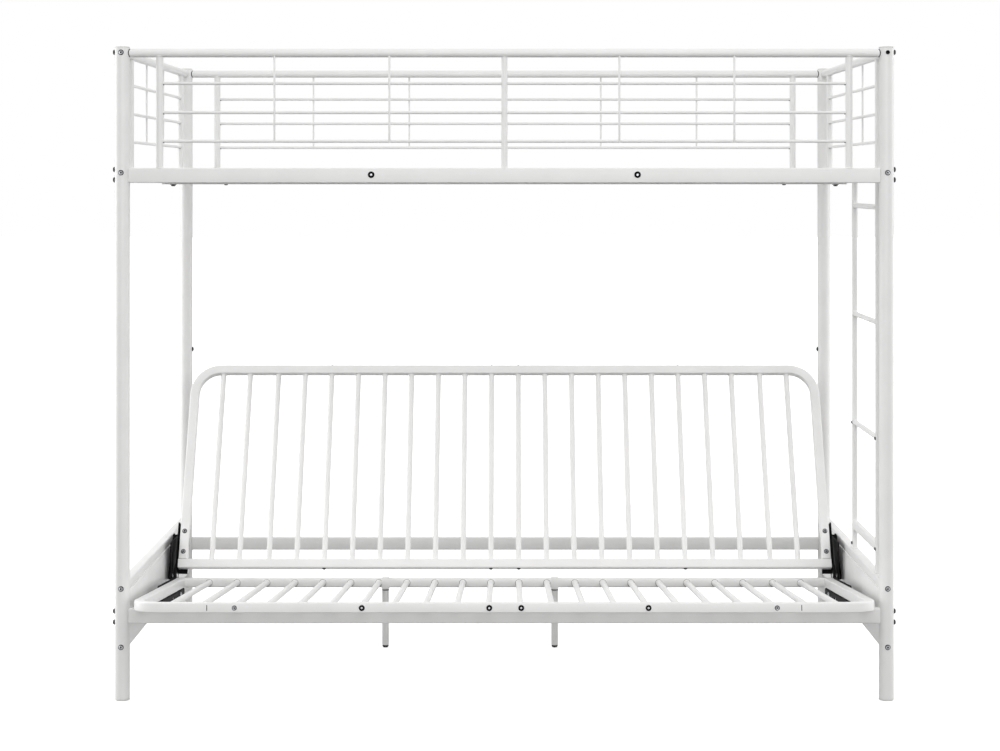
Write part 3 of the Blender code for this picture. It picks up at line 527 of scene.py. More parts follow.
def rounded_square(half_width, half_height, corner, steps=CORNER_SEGMENTS):
    """Outline of a square tube's section, corner by corner."""
    points = []
    for start, (a, b) in zip((0, 90, 180, 270), ((1, 1), (-1, 1), (-1, -1), (1, -1))):
        for step in range(steps + 1):
            angle = math.radians(start + 90 * step / steps)
            x = a * (half_width - corner) + corner * math.cos(angle)
            y = b * (half_height - corner) + corner * math.sin(angle)
            points.append((x, y))
    return points


def bent_tube(shape, start, heading, legs, v):
    """Square tube through a deck's plane: straight legs (length,) and bends (radius, angle)."""
    place, heading = Vector((*start, v)), Vector((*heading, 0)).normalized()
    up = Vector((0, 0, 1))
    side = up.cross(heading)
    section = rounded_square(HALF_TUBE, HALF_TUBE, TUBE_CORNER)
    corners = [shape.verts.new(place + side * a + up * b) for a, b in section]
    edges = [shape.edges.new((corners[i - 1], corners[i])) for i in range(len(corners))]
    first = list(edges)
    for leg in legs:
        if len(leg) == 1:
            grown = bmesh.ops.extrude_edge_only(shape, edges=edges)["geom"]
            new = {g for g in grown if isinstance(g, bmesh.types.BMVert)}
            edges = [g for g in grown if isinstance(g, bmesh.types.BMEdge) and new.issuperset(g.verts)]
            bmesh.ops.translate(shape, verts=list(new), vec=heading * leg[0])
            place = place + heading * leg[0]
        else:
            radius, angle = leg
            centre = place + side * math.copysign(radius, angle)
            loop = list({v for e in edges for v in e.verts}) + edges
            last = bmesh.ops.spin(
                shape, geom=loop, cent=centre, axis=up, angle=angle, steps=BEND_STEPS, use_merge=False
            )["geom_last"]
            edges = [g for g in last if isinstance(g, bmesh.types.BMEdge)]
            turn = Matrix.Rotation(angle, 3, up)
            place = centre + turn @ (place - centre)
            heading = turn @ heading
            side = turn @ side
    bmesh.ops.holes_fill(shape, edges=first, sides=0)
    bmesh.ops.holes_fill(shape, edges=edges, sides=0)


def nearest(places, value):
    """The place that lies nearest to a value."""
    return min(places, key=lambda place: abs(place - value))


def seat_on_posts(shape, gap=POST_FIT, axis=0):
    """Shapes the ends of the tubes that meet the posts to the posts' round; axis is the tubes' run."""
    ends, rows = (-POST_X, POST_X), (0, DEPTH)
    if axis == 1:
        ends, rows = rows, ends
    for vertex in shape.verts:
        along, across = vertex.co[axis], vertex.co[1 - axis]
        end = nearest(ends, along)
        if abs(along - end) <= POST_RADIUS + POST_END_REACH:
            off = across - nearest(rows, across)
            reach = math.sqrt(max((POST_RADIUS + gap) ** 2 - off**2, 0))
            vertex.co[axis] = end + reach if end == ends[0] else end - reach


def into(shape, matrix):
    """Moves a shape into a body's frame."""
    bmesh.ops.transform(shape, matrix=matrix, verts=shape.verts)
    return shape


# Posts


def build_posts():
    corners = {
        "front_left": (-POST_X, 0),
        "front_right": (POST_X, 0),
        "rear_left": (-POST_X, DEPTH),
        "rear_right": (POST_X, DEPTH),
    }
    rim = 0.0006
    for corner, (x, y) in corners.items():
        shape = bmesh.new()
        profile = [
            (0, POST_TOP),
            (POST_RADIUS - rim, POST_TOP),
            (POST_RADIUS, POST_TOP - rim),
            (POST_RADIUS, POST_FOOT + rim),
            (POST_RADIUS - rim, POST_FOOT),
            (0, POST_FOOT),
        ]
        turned(shape, profile, (x, y, 0), sides=POST_SIDES)
        name = f"{corner}_post_tube"
        finish_piece(name, into(shape, FIXED), "white_powder_coat", "frame", [f"{corner}_post"])

        shape = bmesh.new()
        base = POST_TOP + TOUCH
        profile = [
            (0, base + CAP_HEIGHT),
            (POST_RADIUS * 0.55, base + CAP_HEIGHT - 0.0001),
            (POST_RADIUS - 0.004, base + CAP_HEIGHT - 0.0004),
            (POST_RADIUS - 0.0016, base + CAP_HEIGHT - 0.0010),
            (POST_RADIUS - 0.0004, base + CAP_HEIGHT - 0.0019),
            (POST_RADIUS, base + 0.0007),
            (POST_RADIUS - 0.0003, base),
            (0, base),
        ]
        turned(shape, profile, (x, y, 0), sides=POST_SIDES)
        name = f"{corner}_moulded_cap"
        finish_piece(name, into(shape, FIXED), "white_plastic", "frame", [f"{corner}_cap"])

        shape = bmesh.new()
        profile = [
            (0, FOOT_HEIGHT),
            (POST_RADIUS - 0.0003, FOOT_HEIGHT),
            (POST_RADIUS, FOOT_HEIGHT - 0.0004),
            (POST_RADIUS, 0.0013),
            (POST_RADIUS - 0.0004, 0.0004),
            (POST_RADIUS - 0.0013, 0),
            (0, 0),
        ]
        turned(shape, profile, (x, y, 0), sides=POST_SIDES)
        name = f"{corner}_moulded_foot"
        finish_piece(name, into(shape, FIXED), "white_plastic", "frame", [f"{corner}_foot"])


# Rails between the posts


def build_rails():
    reach = POST_X - POST_RADIUS
    for name, y, top in (
        ("bunk_front_rail", 0, BUNK_RAIL_TOP),
        ("bunk_rear_rail", DEPTH, BUNK_RAIL_TOP),
        ("lower_front_rail", 0, LOWER_RAIL_TOP),
        ("lower_rear_rail", DEPTH, LOWER_RAIL_TOP),
    ):
        shape = bmesh.new()
        half = RAIL_DEPTH / 2
        bar(shape, (-reach, y - half, top - RAIL_HEIGHT), (reach, y + half, top))
        seat_on_posts(shape, RAIL_GAP)
        finish_piece(f"{name}_tube", into(shape, FIXED), "white_powder_coat", "frame", [name])
    inner = POST_X - HALF_TUBE
    for label, side in (("left", -1), ("right", 1)):
        xs = sorted((side * inner, side * (inner + SQUARE_TUBE)))
        for name, top in (
            (f"bunk_{label}_end_rail", BUNK_RAIL_TOP),
            (f"{label}_end_top_tube", END_TOP_CENTRE + HALF_TUBE),
        ):
            shape = bmesh.new()
            bar(shape, (xs[0], POST_RADIUS, top - SQUARE_TUBE), (xs[1], DEPTH - POST_RADIUS, top), along=1)
            seat_on_posts(shape, axis=1)
            finish_piece(f"{name}_steel", into(shape, FIXED), "white_powder_coat", "frame", [name])


# Bunk base: ledges, and a slat frame lying on them


def ledge_outline(turn, edge):
    """Section of an angle ledge that stands against a long rail; turn points into the bed."""
    low = BUNK_RAIL_TOP - RAIL_HEIGHT - LEDGE_DROP
    face = RAIL_DEPTH / 2 + TOUCH
    wall = face + LEDGE_THICKNESS
    seat = low + LEDGE_THICKNESS
    points = [
        (face, low),
        (face + LEDGE_SEAT, low),
        (face + LEDGE_SEAT, seat),
        (wall, seat),
        (wall, low + LEDGE_LEG),
        (face, low + LEDGE_LEG),
    ]
    return [(edge + turn * y, z) for y, z in points]


def extruded(shape, outline, low, high):
    """Solid with an outline in the (Y, Z) plane between two places along X."""
    corners = [shape.verts.new((low, y, z)) for y, z in outline]
    face = shape.faces.new(corners)
    grown = bmesh.ops.extrude_face_region(shape, geom=[face])["geom"]
    new = [g for g in grown if isinstance(g, bmesh.types.BMVert)]
    bmesh.ops.translate(shape, verts=new, vec=(high - low, 0, 0))
    return {e for v in corners + new for e in v.link_edges}


def build_bunk_base():
    low = BUNK_RAIL_TOP - RAIL_HEIGHT - LEDGE_DROP
    wall = RAIL_DEPTH / 2 + TOUCH + LEDGE_THICKNESS + TOUCH
    for label, turn, edge in (("front", 1, 0), ("rear", -1, DEPTH)):
        shape = bmesh.new()
        edges = extruded(shape, ledge_outline(turn, edge), -LEDGE_HALF_LENGTH, LEDGE_HALF_LENGTH)
        rim = [e for e in edges if abs(e.verts[0].co.x - e.verts[1].co.x) > LEDGE_HALF_LENGTH]
        bevel(shape, rim, SHEET_EDGE, 2)
        name = f"bunk_{label}_ledge"
        finish_piece(f"bunk_{label}_angle", into(shape, FIXED), "white_powder_coat", "frame", [name])
    shape = bmesh.new()
    z = low + LEDGE_THICKNESS + TOUCH + HALF_TUBE
    inside = wall + SQUARE_TUBE
    for y in (wall, DEPTH - inside):
        low_corner = (-LEDGE_HALF_LENGTH, y, z - HALF_TUBE)
        bar(shape, low_corner, (LEDGE_HALF_LENGTH, y + SQUARE_TUBE, z + HALF_TUBE))
    for step in range(-BUNK_SLATS_EACH_WAY, BUNK_SLATS_EACH_WAY + 1):
        x = step * BUNK_SLAT_PITCH
        rod(shape, (x, inside - SUNK, z), (x, DEPTH - inside + SUNK, z), SLAT_RADIUS)
        weld_bead(shape, (x, inside, z), (0, 1, 0), SLAT_RADIUS)
        weld_bead(shape, (x, DEPTH - inside, z), (0, -1, 0), SLAT_RADIUS)
    finish_piece("bunk_slat_frame", into(shape, FIXED), "white_powder_coat", "frame", ["bunk_slat_grid"])


# Guards


def build_guard(label, axis, middle, uprights, ends, outward, shaded_ends):
    """A welded guard that runs along an axis, with its middle plane at a place across it.

    uprights are (place, radius), ends the places where its top tube meets the posts. At the uprights named in
    the last argument, a dark ring just under each rod's end paints the shade under its weld.
    """

    def place(along, offset, height):
        across = middle + offset
        return Vector((along, across, height) if axis == 0 else (across, along, height))

    name = f"{label}_guard_rail"
    plugs, rings = bmesh.new(), bmesh.new()
    for end in ends:
        inside = end + math.copysign(PLUG_LENGTH, (ends[0] + ends[1]) / 2 - end)
        rod(plugs, place(inside, 0, GUARD_TOP), place(end, 0, GUARD_TOP), GUARD_TOP_RADIUS - TOUCH)
    seat_on_posts(plugs, axis=axis)
    finish_piece(f"{name}_plugs", into(plugs, FIXED), "black_plastic", "frame")

    shape = bmesh.new()
    start, end = (place(along, 0, GUARD_TOP) for along in ends)
    open_tube(shape, start, end, GUARD_TOP_RADIUS, GUARD_WALL, PLUG_LENGTH)
    seat_on_posts(shape, GUARD_GAP, axis)
    foot = BUNK_RAIL_TOP + TOUCH
    for along, radius in uprights:
        head = GUARD_TOP - math.sqrt(GUARD_TOP_RADIUS**2 - (radius * 0.75) ** 2)
        rod(shape, place(along, 0, foot), place(along, 0, GUARD_TOP), radius)
        weld_bead(shape, place(along, 0, foot), (0, 0, 1), radius)
        weld_bead(shape, place(along, 0, head), (0, 0, -1), radius)

    run = Vector((1 - axis, axis, 0))
    first, last = uprights[0][0], uprights[-1][0]
    for lift in ROD_LIFTS:
        height = BUNK_RAIL_TOP + lift
        under = height - WELD_SHADE_DROP
        rod(shape, place(first, 0, height), place(last, 0, height), ROD_RADIUS, ROD_SIDES)
        for index, (along, radius) in enumerate(uprights):
            for way, there in ((1, index < len(uprights) - 1), (-1, index > 0)):
                # Painted shade: a dark ring under the rod's end, where shade falls below the weld
                if there and index in shaded_ends:
                    near = along + way * (radius - WELD_SHADE_BITE)
                    far = near + way * WELD_SHADE_LENGTH
                    rod(rings, place(near, 0, under), place(far, 0, under), WELD_SHADE_RADIUS, 16)
                elif there:
                    spot = place(along + way * (radius - ROD_BEAD_BITE), 0, height)
                    weld_bead(shape, spot, run * way, ROD_RADIUS, ROD_BEAD, 14)

    offset = outward * (ROD_RADIUS + STIFFENER_RADIUS - SUNK)
    low = BUNK_RAIL_TOP + ROD_LIFTS[0] - ROD_RADIUS
    high = GUARD_TOP - SUNK
    for (before, _), (after, _) in zip(uprights, uprights[1:]):
        for share in (1 / 3, 2 / 3):
            along = before + (after - before) * share
            rod(shape, place(along, offset, low), place(along, offset, high), STIFFENER_RADIUS, 16, 0.0006)
    finish_piece(name, into(shape, FIXED), "white_powder_coat", "frame", [f"{label}_guard"])
    # The dark rings are painted shade under the rods' welds, drawn in the black finish
    finish_piece(f"{name}_weld_rings", into(rings, FIXED), "black_steel", "frame")


def build_guards():
    upright_x = POST_X - UPRIGHT_INSET
    reach = POST_X - POST_RADIUS
    uprights = [(-upright_x, UPRIGHT_RADIUS), (0, MIDDLE_RADIUS), (upright_x, UPRIGHT_RADIUS)]
    for label, y, outward in (("front", 0, -1), ("rear", DEPTH, 1)):
        build_guard(label, 0, y, uprights, (-reach, reach), outward, shaded_ends=(0, 2))
    uprights = [(END_UPRIGHT_INSET, UPRIGHT_RADIUS), (DEPTH - END_UPRIGHT_INSET, UPRIGHT_RADIUS)]
    ends = (POST_RADIUS, DEPTH - POST_RADIUS)
    for label, side in (("left", -1), ("right", 1)):
        build_guard(label, 1, side * POST_X, uprights, ends, side, shaded_ends=(1,))


# Ladder


def build_ladder():
    shape = bmesh.new()
    foot = END_TOP_CENTRE + HALF_TUBE + TOUCH
    head = BUNK_RAIL_TOP - SQUARE_TUBE - TOUCH
    for y in (LADDER_FRONT, LADDER_REAR):
        rod(shape, (POST_X, y, foot), (POST_X, y, head), LADDER_RADIUS)
    for z in RUNG_HEIGHTS:
        rod(shape, (POST_X, LADDER_FRONT, z), (POST_X, LADDER_REAR, z), RUNG_RADIUS)
        for y, way in ((LADDER_FRONT, 1), (LADDER_REAR, -1)):
            weld = y + way * (LADDER_RADIUS - SUNK)
            weld_bead(shape, (POST_X, weld, z), (0, way, 0), RUNG_RADIUS)
    half = STEP_DEPTH / 2
    low, high = STEP_CENTRE - STEP_HEIGHT / 2, STEP_CENTRE + STEP_HEIGHT / 2
    bar(shape, (POST_X - half, LADDER_FRONT, low), (POST_X + half, LADDER_REAR, high), along=1)
    finish_piece("ladder_frame", into(shape, FIXED), "white_powder_coat", "frame", ["ladder"])


# End frames


def build_end_frames():
    inner = POST_X - HALF_TUBE
    low_x = inner + PANEL_THICKNESS + TOUCH
    panel_top = END_TOP_CENTRE - HALF_TUBE - TOUCH
    for label, side in (("left", -1), ("right", 1)):
        xs = sorted((side * low_x, side * (low_x + END_LOW_TUBE)))
        half = END_LOW_TUBE / 2
        shape = bmesh.new()
        bar(
            shape,
            (xs[0], POST_RADIUS, END_LOW_CENTRE - half),
            (xs[1], DEPTH - POST_RADIUS, END_LOW_CENTRE + half),
            END_LOW_CORNER,
            along=1,
        )
        seat_on_posts(shape, axis=1)
        name = f"{label}_end_low_tube"
        finish_piece(f"{name}_steel", into(shape, FIXED), "white_powder_coat", "frame", [name])
        xs = sorted((side * inner, side * (inner + PANEL_THICKNESS)))
        shape = bmesh.new()
        near, far = POST_RADIUS + TOUCH, DEPTH - POST_RADIUS - TOUCH
        bar(shape, (xs[0], near, PANEL_BOTTOM), (xs[1], far, panel_top), SHEET_EDGE, along=1, segments=2)
        name = f"{label}_end_panel"
        finish_piece(f"{name}_sheet", into(shape, FIXED), "white_powder_coat", "frame", [name])


# Seat deck


def slat_places():
    """X of the slats of a futon deck: evenly spaced ones and two more at each end."""
    inner = [(index + 0.5) * SLAT_PITCH for index in range(SLATS_PER_SIDE)]
    return [side * x for side in (-1, 1) for x in (*inner, *OUTER_SLATS)]


def build_seat_front():
    """Front rail between its two seams, with the sleeves, and dark bars in the seams that paint the shade in
    their gaps.
    """
    seam = SEAT_SEAM - SEAM_GAP / 2
    front, rear = -SEAT_FRONT - HALF_TUBE, -SEAT_FRONT + HALF_TUBE
    shape = bmesh.new()
    bar(shape, (-seam, front, DECK_CENTRE - HALF_TUBE), (seam, rear, DECK_CENTRE + HALF_TUBE))
    finish_piece("seat_front_rail_tube", into(shape, SEAT), "white_powder_coat", "seat", ["seat_front_rail"])
    sleeves, slots = bmesh.new(), bmesh.new()
    half = HALF_TUBE - SEAM_LIP
    for x in (-SEAT_SEAM, SEAT_SEAM):
        left, right = x - SEAM_GAP / 2 + SEAM_FIT, x + SEAM_GAP / 2 - SEAM_FIT
        bar(
            sleeves,
            (left, front + SEAM_LIP, DECK_CENTRE - half),
            (right, rear - SEAM_LIP, DECK_CENTRE + half),
            0.0001,
            segments=1,
        )
        bar(
            slots,
            (left - SEAM_SHADE_OVERLAP, front - SEAM_SHADE_PROUD, DECK_CENTRE - SEAM_SHADE_HALF_HEIGHT),
            (right + SEAM_SHADE_OVERLAP, front + SEAM_LIP, DECK_CENTRE + SEAM_SHADE_HALF_HEIGHT),
            0.00004,
            along=2,
            segments=1,
        )
    finish_piece("seat_seam_sleeves", into(sleeves, SEAT), "white_powder_coat", "seat")
    # Painted shade in the seams' gaps
    finish_piece("seat_seam_slots", into(slots, SEAT), "black_oxide_steel", "seat")


def build_seat_sides():
    """The two bent tubes from the front rail's seams round the corners to the rear rail."""
    bend = DECK_CORNER_RADIUS - HALF_TUBE
    seam_end = SEAT_SEAM + SEAM_GAP / 2
    run = SIDE_TUBE_X - bend - seam_end
    side_run = SEAT_REAR - HALF_TUBE - TOUCH + SEAT_FRONT - bend
    for label, side in (("left", -1), ("right", 1)):
        shape = bmesh.new()
        legs = [(run,), (bend, side * math.pi / 2), (side_run,)]
        bent_tube(shape, (side * seam_end, -SEAT_FRONT), (side, 0), legs, DECK_CENTRE)
        name = f"seat_{label}_bent_tube"
        finish_piece(f"seat_{label}_side_tube", into(shape, SEAT), "white_powder_coat", "seat", [name])


def build_seat_grid():
    """Slats welded between the front rail and the rear rail, with a dark edge round each rear weld."""
    front = -SEAT_FRONT + HALF_TUBE + TOUCH
    rear = SEAT_REAR - HALF_TUBE
    shape = bmesh.new()
    bar(
        shape,
        (-DECK_HALF_LENGTH, rear, DECK_CENTRE - HALF_TUBE),
        (DECK_HALF_LENGTH, SEAT_REAR + HALF_TUBE, DECK_CENTRE + HALF_TUBE),
    )
    for x in slat_places():
        rod(shape, (x, front, DECK_CENTRE), (x, rear + SUNK, DECK_CENTRE), SLAT_RADIUS)
        weld_bead(shape, (x, front + TOUCH, DECK_CENTRE), (0, 1, 0), SLAT_RADIUS)
        weld_bead(shape, (x, rear, DECK_CENTRE), (0, -1, 0), SLAT_RADIUS)
    name = "seat_slats_and_rear_rail"
    finish_piece(name, into(shape, SEAT), "white_powder_coat", "seat", ["seat_slat_grid"])
    edges = bmesh.new()
    profile = [
        (WELD_EDGE_INNER, 0.0005),
        (WELD_EDGE_OUTER, 0.0005),
        (WELD_EDGE_OUTER, -0.0003),
        (WELD_EDGE_INNER, -0.0003),
    ]
    for x in slat_places():
        turned(edges, profile, (x, rear, DECK_CENTRE), (0, -1, 0), 24, ring=True)
    finish_piece("seat_slat_weld_edges", into(edges, SEAT), "black_oxide_steel", "seat")


def build_legs():
    """Support legs. The tube covers the upper part of each glide, so that only its foot shows."""
    saddle_shade_rings = bmesh.new()
    top = LEG_FOOT_HEIGHT + 0.003
    profile = [
        (0, top),
        (LEG_FOOT_RADIUS - 0.0004, top),
        (LEG_FOOT_RADIUS, top - 0.001),
        (LEG_FOOT_RADIUS, 0.003),
        (LEG_FOOT_RADIUS - 0.0008, 0.0012),
        (LEG_FOOT_RADIUS - 0.0024, 0),
        (0, 0),
    ]
    for label in ("left", "right"):
        low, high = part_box(f"{label}_support_leg")
        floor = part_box(f"{label}_leg_glide")[0].z
        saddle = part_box(f"{label}_leg_saddle")[0].z
        x, y = (low.x + high.x) / 2, (low.y + high.y) / 2
        shape = bmesh.new()
        rod(shape, (x, y, floor + LEG_FOOT_HEIGHT), (x, y, high.z), LEG_RADIUS, rim=0.0006)
        finish_piece(f"{label}_leg_tube", shape, "white_powder_coat", "seat", [f"{label}_support_leg"])
        shape = bmesh.new()
        turned(shape, profile, (x, y, floor))
        finish_piece(f"{label}_leg_foot", shape, "black_plastic", "seat", [f"{label}_leg_glide"])
        # Painted shade: a thin black ring just under the saddle's lower edge
        rod(saddle_shade_rings, (x, y, saddle - LEG_SADDLE_SHADE_HEIGHT), (x, y, saddle), LEG_SADDLE_SHADE_RADIUS, rim=0.0004)
    finish_piece("leg_saddle_joints", saddle_shade_rings, "black_plastic", "seat")


# Back deck


def build_back():
    bend = DECK_CORNER_RADIUS - HALF_TUBE
    rail_top = BACK_RAIL + HALF_TUBE
    side_run = BACK_TOP - bend - rail_top - TOUCH
    shape = bmesh.new()
    legs = [(side_run,), (bend, -math.pi / 2), (2 * (SIDE_TUBE_X - bend),), (bend, -math.pi / 2), (side_run,)]
    bent_tube(shape, (-SIDE_TUBE_X, rail_top + TOUCH), (0, 1), legs, BACK_CENTRE)
    finish_piece("back_hoop_tube", into(shape, BACK), "white_powder_coat", "back", ["back_bent_tube"])
    shape = bmesh.new()
    bar(
        shape,
        (-DECK_HALF_LENGTH, BACK_RAIL - HALF_TUBE, BACK_CENTRE - HALF_TUBE),
        (DECK_HALF_LENGTH, rail_top, BACK_CENTRE + HALF_TUBE),
    )
    top = BACK_TOP - HALF_TUBE - TOUCH
    for x in slat_places():
        rod(shape, (x, rail_top - SUNK, BACK_CENTRE), (x, top, BACK_CENTRE), SLAT_RADIUS)
        weld_bead(shape, (x, rail_top, BACK_CENTRE), (0, 1, 0), SLAT_RADIUS)
        weld_bead(shape, (x, top - TOUCH, BACK_CENTRE), (0, -1, 0), SLAT_RADIUS)
    finish_piece("back_slats_and_rail", into(shape, BACK), "white_powder_coat", "back", ["back_slat_grid"])


# Fasteners


def hex_reach(angle, apothem):
    """Distance of a hexagon's edge from its middle at an angle."""
    folded = (angle + math.pi / 6) % (math.pi / 3) - math.pi / 6
    return apothem / math.cos(folded)


def socket_bolt(shape, place, direction, radius, height, socket, depth, crown=0.35):
    """Button head with a hexagon socket, standing on a surface; crown is the share of its flat top."""
    rings = [
        (radius * 0.97, 0.0, False),
        (radius, height * 0.14, False),
        (radius * 0.97, height * 0.42, False),
        (radius * 0.86, height * 0.74, False),
        (radius * 0.70, height * 0.93, False),
        (max(radius * crown, socket * 1.25), height, False),
        (socket, height * 0.97, True),
        (socket, height - depth, True),
    ]
    base = bmesh.ops.create_circle(shape, cap_ends=True, radius=rings[0][0], segments=24)["verts"]
    made = list(base)
    loop = list({e for v in base for e in v.link_edges})
    for size, level, hexed in rings[1:]:
        grown = bmesh.ops.extrude_edge_only(shape, edges=loop)["geom"]
        new = [g for g in grown if isinstance(g, bmesh.types.BMVert)]
        loop = [g for g in grown if isinstance(g, bmesh.types.BMEdge) and set(new).issuperset(g.verts)]
        for vertex in new:
            angle = math.atan2(vertex.co.y, vertex.co.x)
            reach = hex_reach(angle, size) if hexed else size
            vertex.co = (reach * math.cos(angle), reach * math.sin(angle), level)
        made += new
    bmesh.ops.holes_fill(shape, edges=loop, sides=0)
    turn = Vector(direction).to_track_quat("Z", "Y").to_matrix().to_4x4()
    bmesh.ops.transform(shape, matrix=Matrix.Translation(place) @ turn, verts=made)


def washer(shape, place, direction, outer, inner, height):
    """Flat ring with its outer edge broken."""
    edge = height * 0.3
    profile = [(inner, 0), (outer, 0), (outer, height - edge), (outer - edge, height), (inner, height)]
    turned(shape, profile, place, direction, 28, ring=True)


def ringed_bolt(collars, heads, place, direction, radius):
    """Blackened collar on a surface with a small zinc head inside it."""
    washer(collars, place, direction, radius, radius * 0.44, 0.0020)
    socket_bolt(heads, place, direction, radius * 0.45, 0.0024, 0.0013, 0.0010, 0.5)


def shadow_rimmed_bolt(rims, heads, place, direction, radius):
    """Zinc button head on a thin black ring that paints the shadow gap under the head, with a dark disc in
    its socket that paints the socket's shade.
    """
    inward = Vector(place) - Vector(direction) * 0.0005
    washer(rims, inward, direction, radius, radius * 0.5, 0.0014)
    seat = Vector(place) + Vector(direction) * 0.0007
    socket_bolt(heads, seat, direction, radius * 0.76, 0.0030, 0.0027, 0.0026)
    shadow = seat + Vector(direction) * 0.0004
    rod(rims, shadow, shadow + Vector(direction) * 0.0009, 0.0023, 12)


def build_post_bolts():
    """Zinc bolts through the posts' faces, all but one, and blackened ones from the ends of the bed."""
    rims, faces, sides, black = bmesh.new(), bmesh.new(), bmesh.new(), bmesh.new()
    for x in (-POST_X, POST_X):
        for y, way in ((-POST_RADIUS, -1), (DEPTH + POST_RADIUS, 1)):
            for z in POST_FACE_BOLTS:
                if x > 0 and way < 0 and z == POST_FACE_BOLTS[0]:
                    socket_bolt(black, (x, y, z), (0, way, 0), *BLACK_POST_HEAD)
                else:
                    shadow_rimmed_bolt(rims, faces, (x, y, z), (0, way, 0), POST_RIM)
        way = math.copysign(1, x)
        for y in (0, DEPTH):
            for z in POST_END_BOLTS:
                place = (x + way * (POST_RADIUS - HEAD_SINK), y, z)
                socket_bolt(sides, place, (way, 0, 0), *POST_END_HEAD)
        place = (x - way * (POST_RADIUS - HEAD_SINK), DEPTH, BACKSTOP_SCREW)
        socket_bolt(sides, place, (-way, 0, 0), *BACKSTOP_HEAD)
    # The rims paint the shadow gap under the zinc heads and the shade in their sockets
    finish_piece("post_bolt_rims", into(rims, FIXED), "black_oxide_steel", "frame")
    finish_piece("post_face_bolts", into(faces, FIXED), "zinc_steel", "frame")
    finish_piece("post_end_bolts", into(sides, FIXED), "black_oxide_steel", "frame")
    finish_piece("front_right_top_bolt", into(black, FIXED), "black_steel", "frame")


def build_rail_bolts():
    """Ringed bolts through the bunk's long rails, and the bolts that hold its slat frame from below."""
    collars, heads, bolts = bmesh.new(), bmesh.new(), bmesh.new()
    half = RAIL_DEPTH / 2
    for x in (-BUNK_BOLT_X, BUNK_BOLT_X):
        for y, way in ((-half, -1), (DEPTH + half, 1)):
            ringed_bolt(collars, heads, (x, y, BUNK_BOLT_HEIGHT), (0, way, 0), BUNK_COLLAR)
    low = BUNK_RAIL_TOP - RAIL_HEIGHT - LEDGE_DROP
    for x in (-LEDGE_BOLT_X, LEDGE_BOLT_X):
        for y in (half + LEDGE_BOLT_INSET, DEPTH - half - LEDGE_BOLT_INSET):
            washer(bolts, (x, y, low), (0, 0, -1), *LEDGE_WASHER)
            socket_bolt(bolts, (x, y, low - 0.0010), (0, 0, -1), *LEDGE_HEAD)
    finish_piece("bunk_rail_collars", into(collars, FIXED), "black_steel", "frame")
    finish_piece("bunk_rail_bolts", into(heads, FIXED), "zinc_steel", "frame")
    finish_piece("bunk_ledge_bolts", into(bolts, FIXED), "black_oxide_steel", "frame")


def build_ladder_screws():
    """Screws through the ladder's tubes from inside the bed."""
    screws = bmesh.new()
    x = POST_X - LADDER_RADIUS + HEAD_SINK
    for y, heights in ((LADDER_FRONT, FRONT_LADDER_SCREWS), (LADDER_REAR, REAR_LADDER_SCREWS)):
        for z in heights:
            socket_bolt(screws, (x, y, z), (-1, 0, 0), *LADDER_HEAD)
    finish_piece("ladder_screws", into(screws, FIXED), "black_oxide_steel", "frame")


def build_seat_bolts():
    """Ringed bolts and seam screws of the front rail, and a bolt on the lip of each seat bracket."""
    collars, heads, rims, screws = bmesh.new(), bmesh.new(), bmesh.new(), bmesh.new()
    front, rear = -SEAT_FRONT - HALF_TUBE, -SEAT_FRONT + HALF_TUBE
    for x in SEAT_BOLTS_X:
        ringed_bolt(collars, heads, (x, front, DECK_CENTRE), (0, -1, 0), SEAT_COLLAR)
        washer(collars, (x, rear, DECK_CENTRE), (0, 1, 0), *SEAT_REAR_WASHER)
        socket_bolt(collars, (x, rear, DECK_CENTRE), (0, 1, 0), *SEAT_REAR_HEAD)
    for x in SEAM_SCREWS_X:
        shadow_rimmed_bolt(rims, screws, (x, front, DECK_CENTRE), (0, -1, 0), SEAM_RIM)
    inner_face = DECK_HALF_LENGTH - SQUARE_TUBE
    for side in (-1, 1):
        socket_bolt(screws, (side * inner_face, *LIP_BOLT), (-side, 0, 0), *LIP_HEAD)
    finish_piece("seat_rail_collars", into(collars, SEAT), "black_steel", "seat")
    finish_piece("seat_rail_bolts", into(heads, SEAT), "zinc_steel", "seat")
    # The seam rims paint the shadow gap under the zinc screw heads and the shade in their sockets
    finish_piece("seat_seam_rims", into(rims, SEAT), "black_oxide_steel", "seat")
    finish_piece("seat_seam_screws", into(screws, SEAT), "zinc_steel", "seat")


def build_back_bolts():
    """Bolts through the back's side tubes, and the studs and screws on its top and bottom rails."""
    rims, bolts, studs = bmesh.new(), bmesh.new(), bmesh.new()
    front = BACK_CENTRE + HALF_TUBE
    for x in (-SIDE_TUBE_X, SIDE_TUBE_X):
        for u in BACK_SIDE_BOLTS_U:
            shadow_rimmed_bolt(rims, bolts, (x, u, front), (0, 0, 1), BACK_RIM)
    low = BACK_RAIL - HALF_TUBE
    top = BACK_TOP + HALF_TUBE
    for x in BACK_STUDS_X:
        foot, head = (x, top - 0.0005, BACK_CENTRE), (x, top + STUD_HEIGHT, BACK_CENTRE)
        rod(studs, foot, head, STUD_RADIUS, 16, 0.0005)
        socket_bolt(rims, (x, low, BACK_CENTRE), (0, -1, 0), *BACK_RAIL_HEAD)
    # Black screws on the bottom rail, and rims that paint the shadow gap under the side bolts' zinc heads
    finish_piece("back_bolt_rims", into(rims, BACK), "black_oxide_steel", "back")
    finish_piece("back_side_bolts", into(bolts, BACK), "zinc_steel", "back")
    finish_piece("back_top_studs", into(studs, BACK), "zinc_steel", "back")


# Floor, light and backdrop


def either_ray(tree, *kinds):
    """1 for rays of any of the kinds, 0 for all others."""
    ray = add_node(tree, "ShaderNodeLightPath")
    found = ray.outputs[kinds[0]]
    for kind in kinds[1:]:
        found = add_node(
            tree, "ShaderNodeMath", {"operation": "MAXIMUM"}, {0: found, 1: ray.outputs[kind]}
        ).outputs["Value"]
    return found


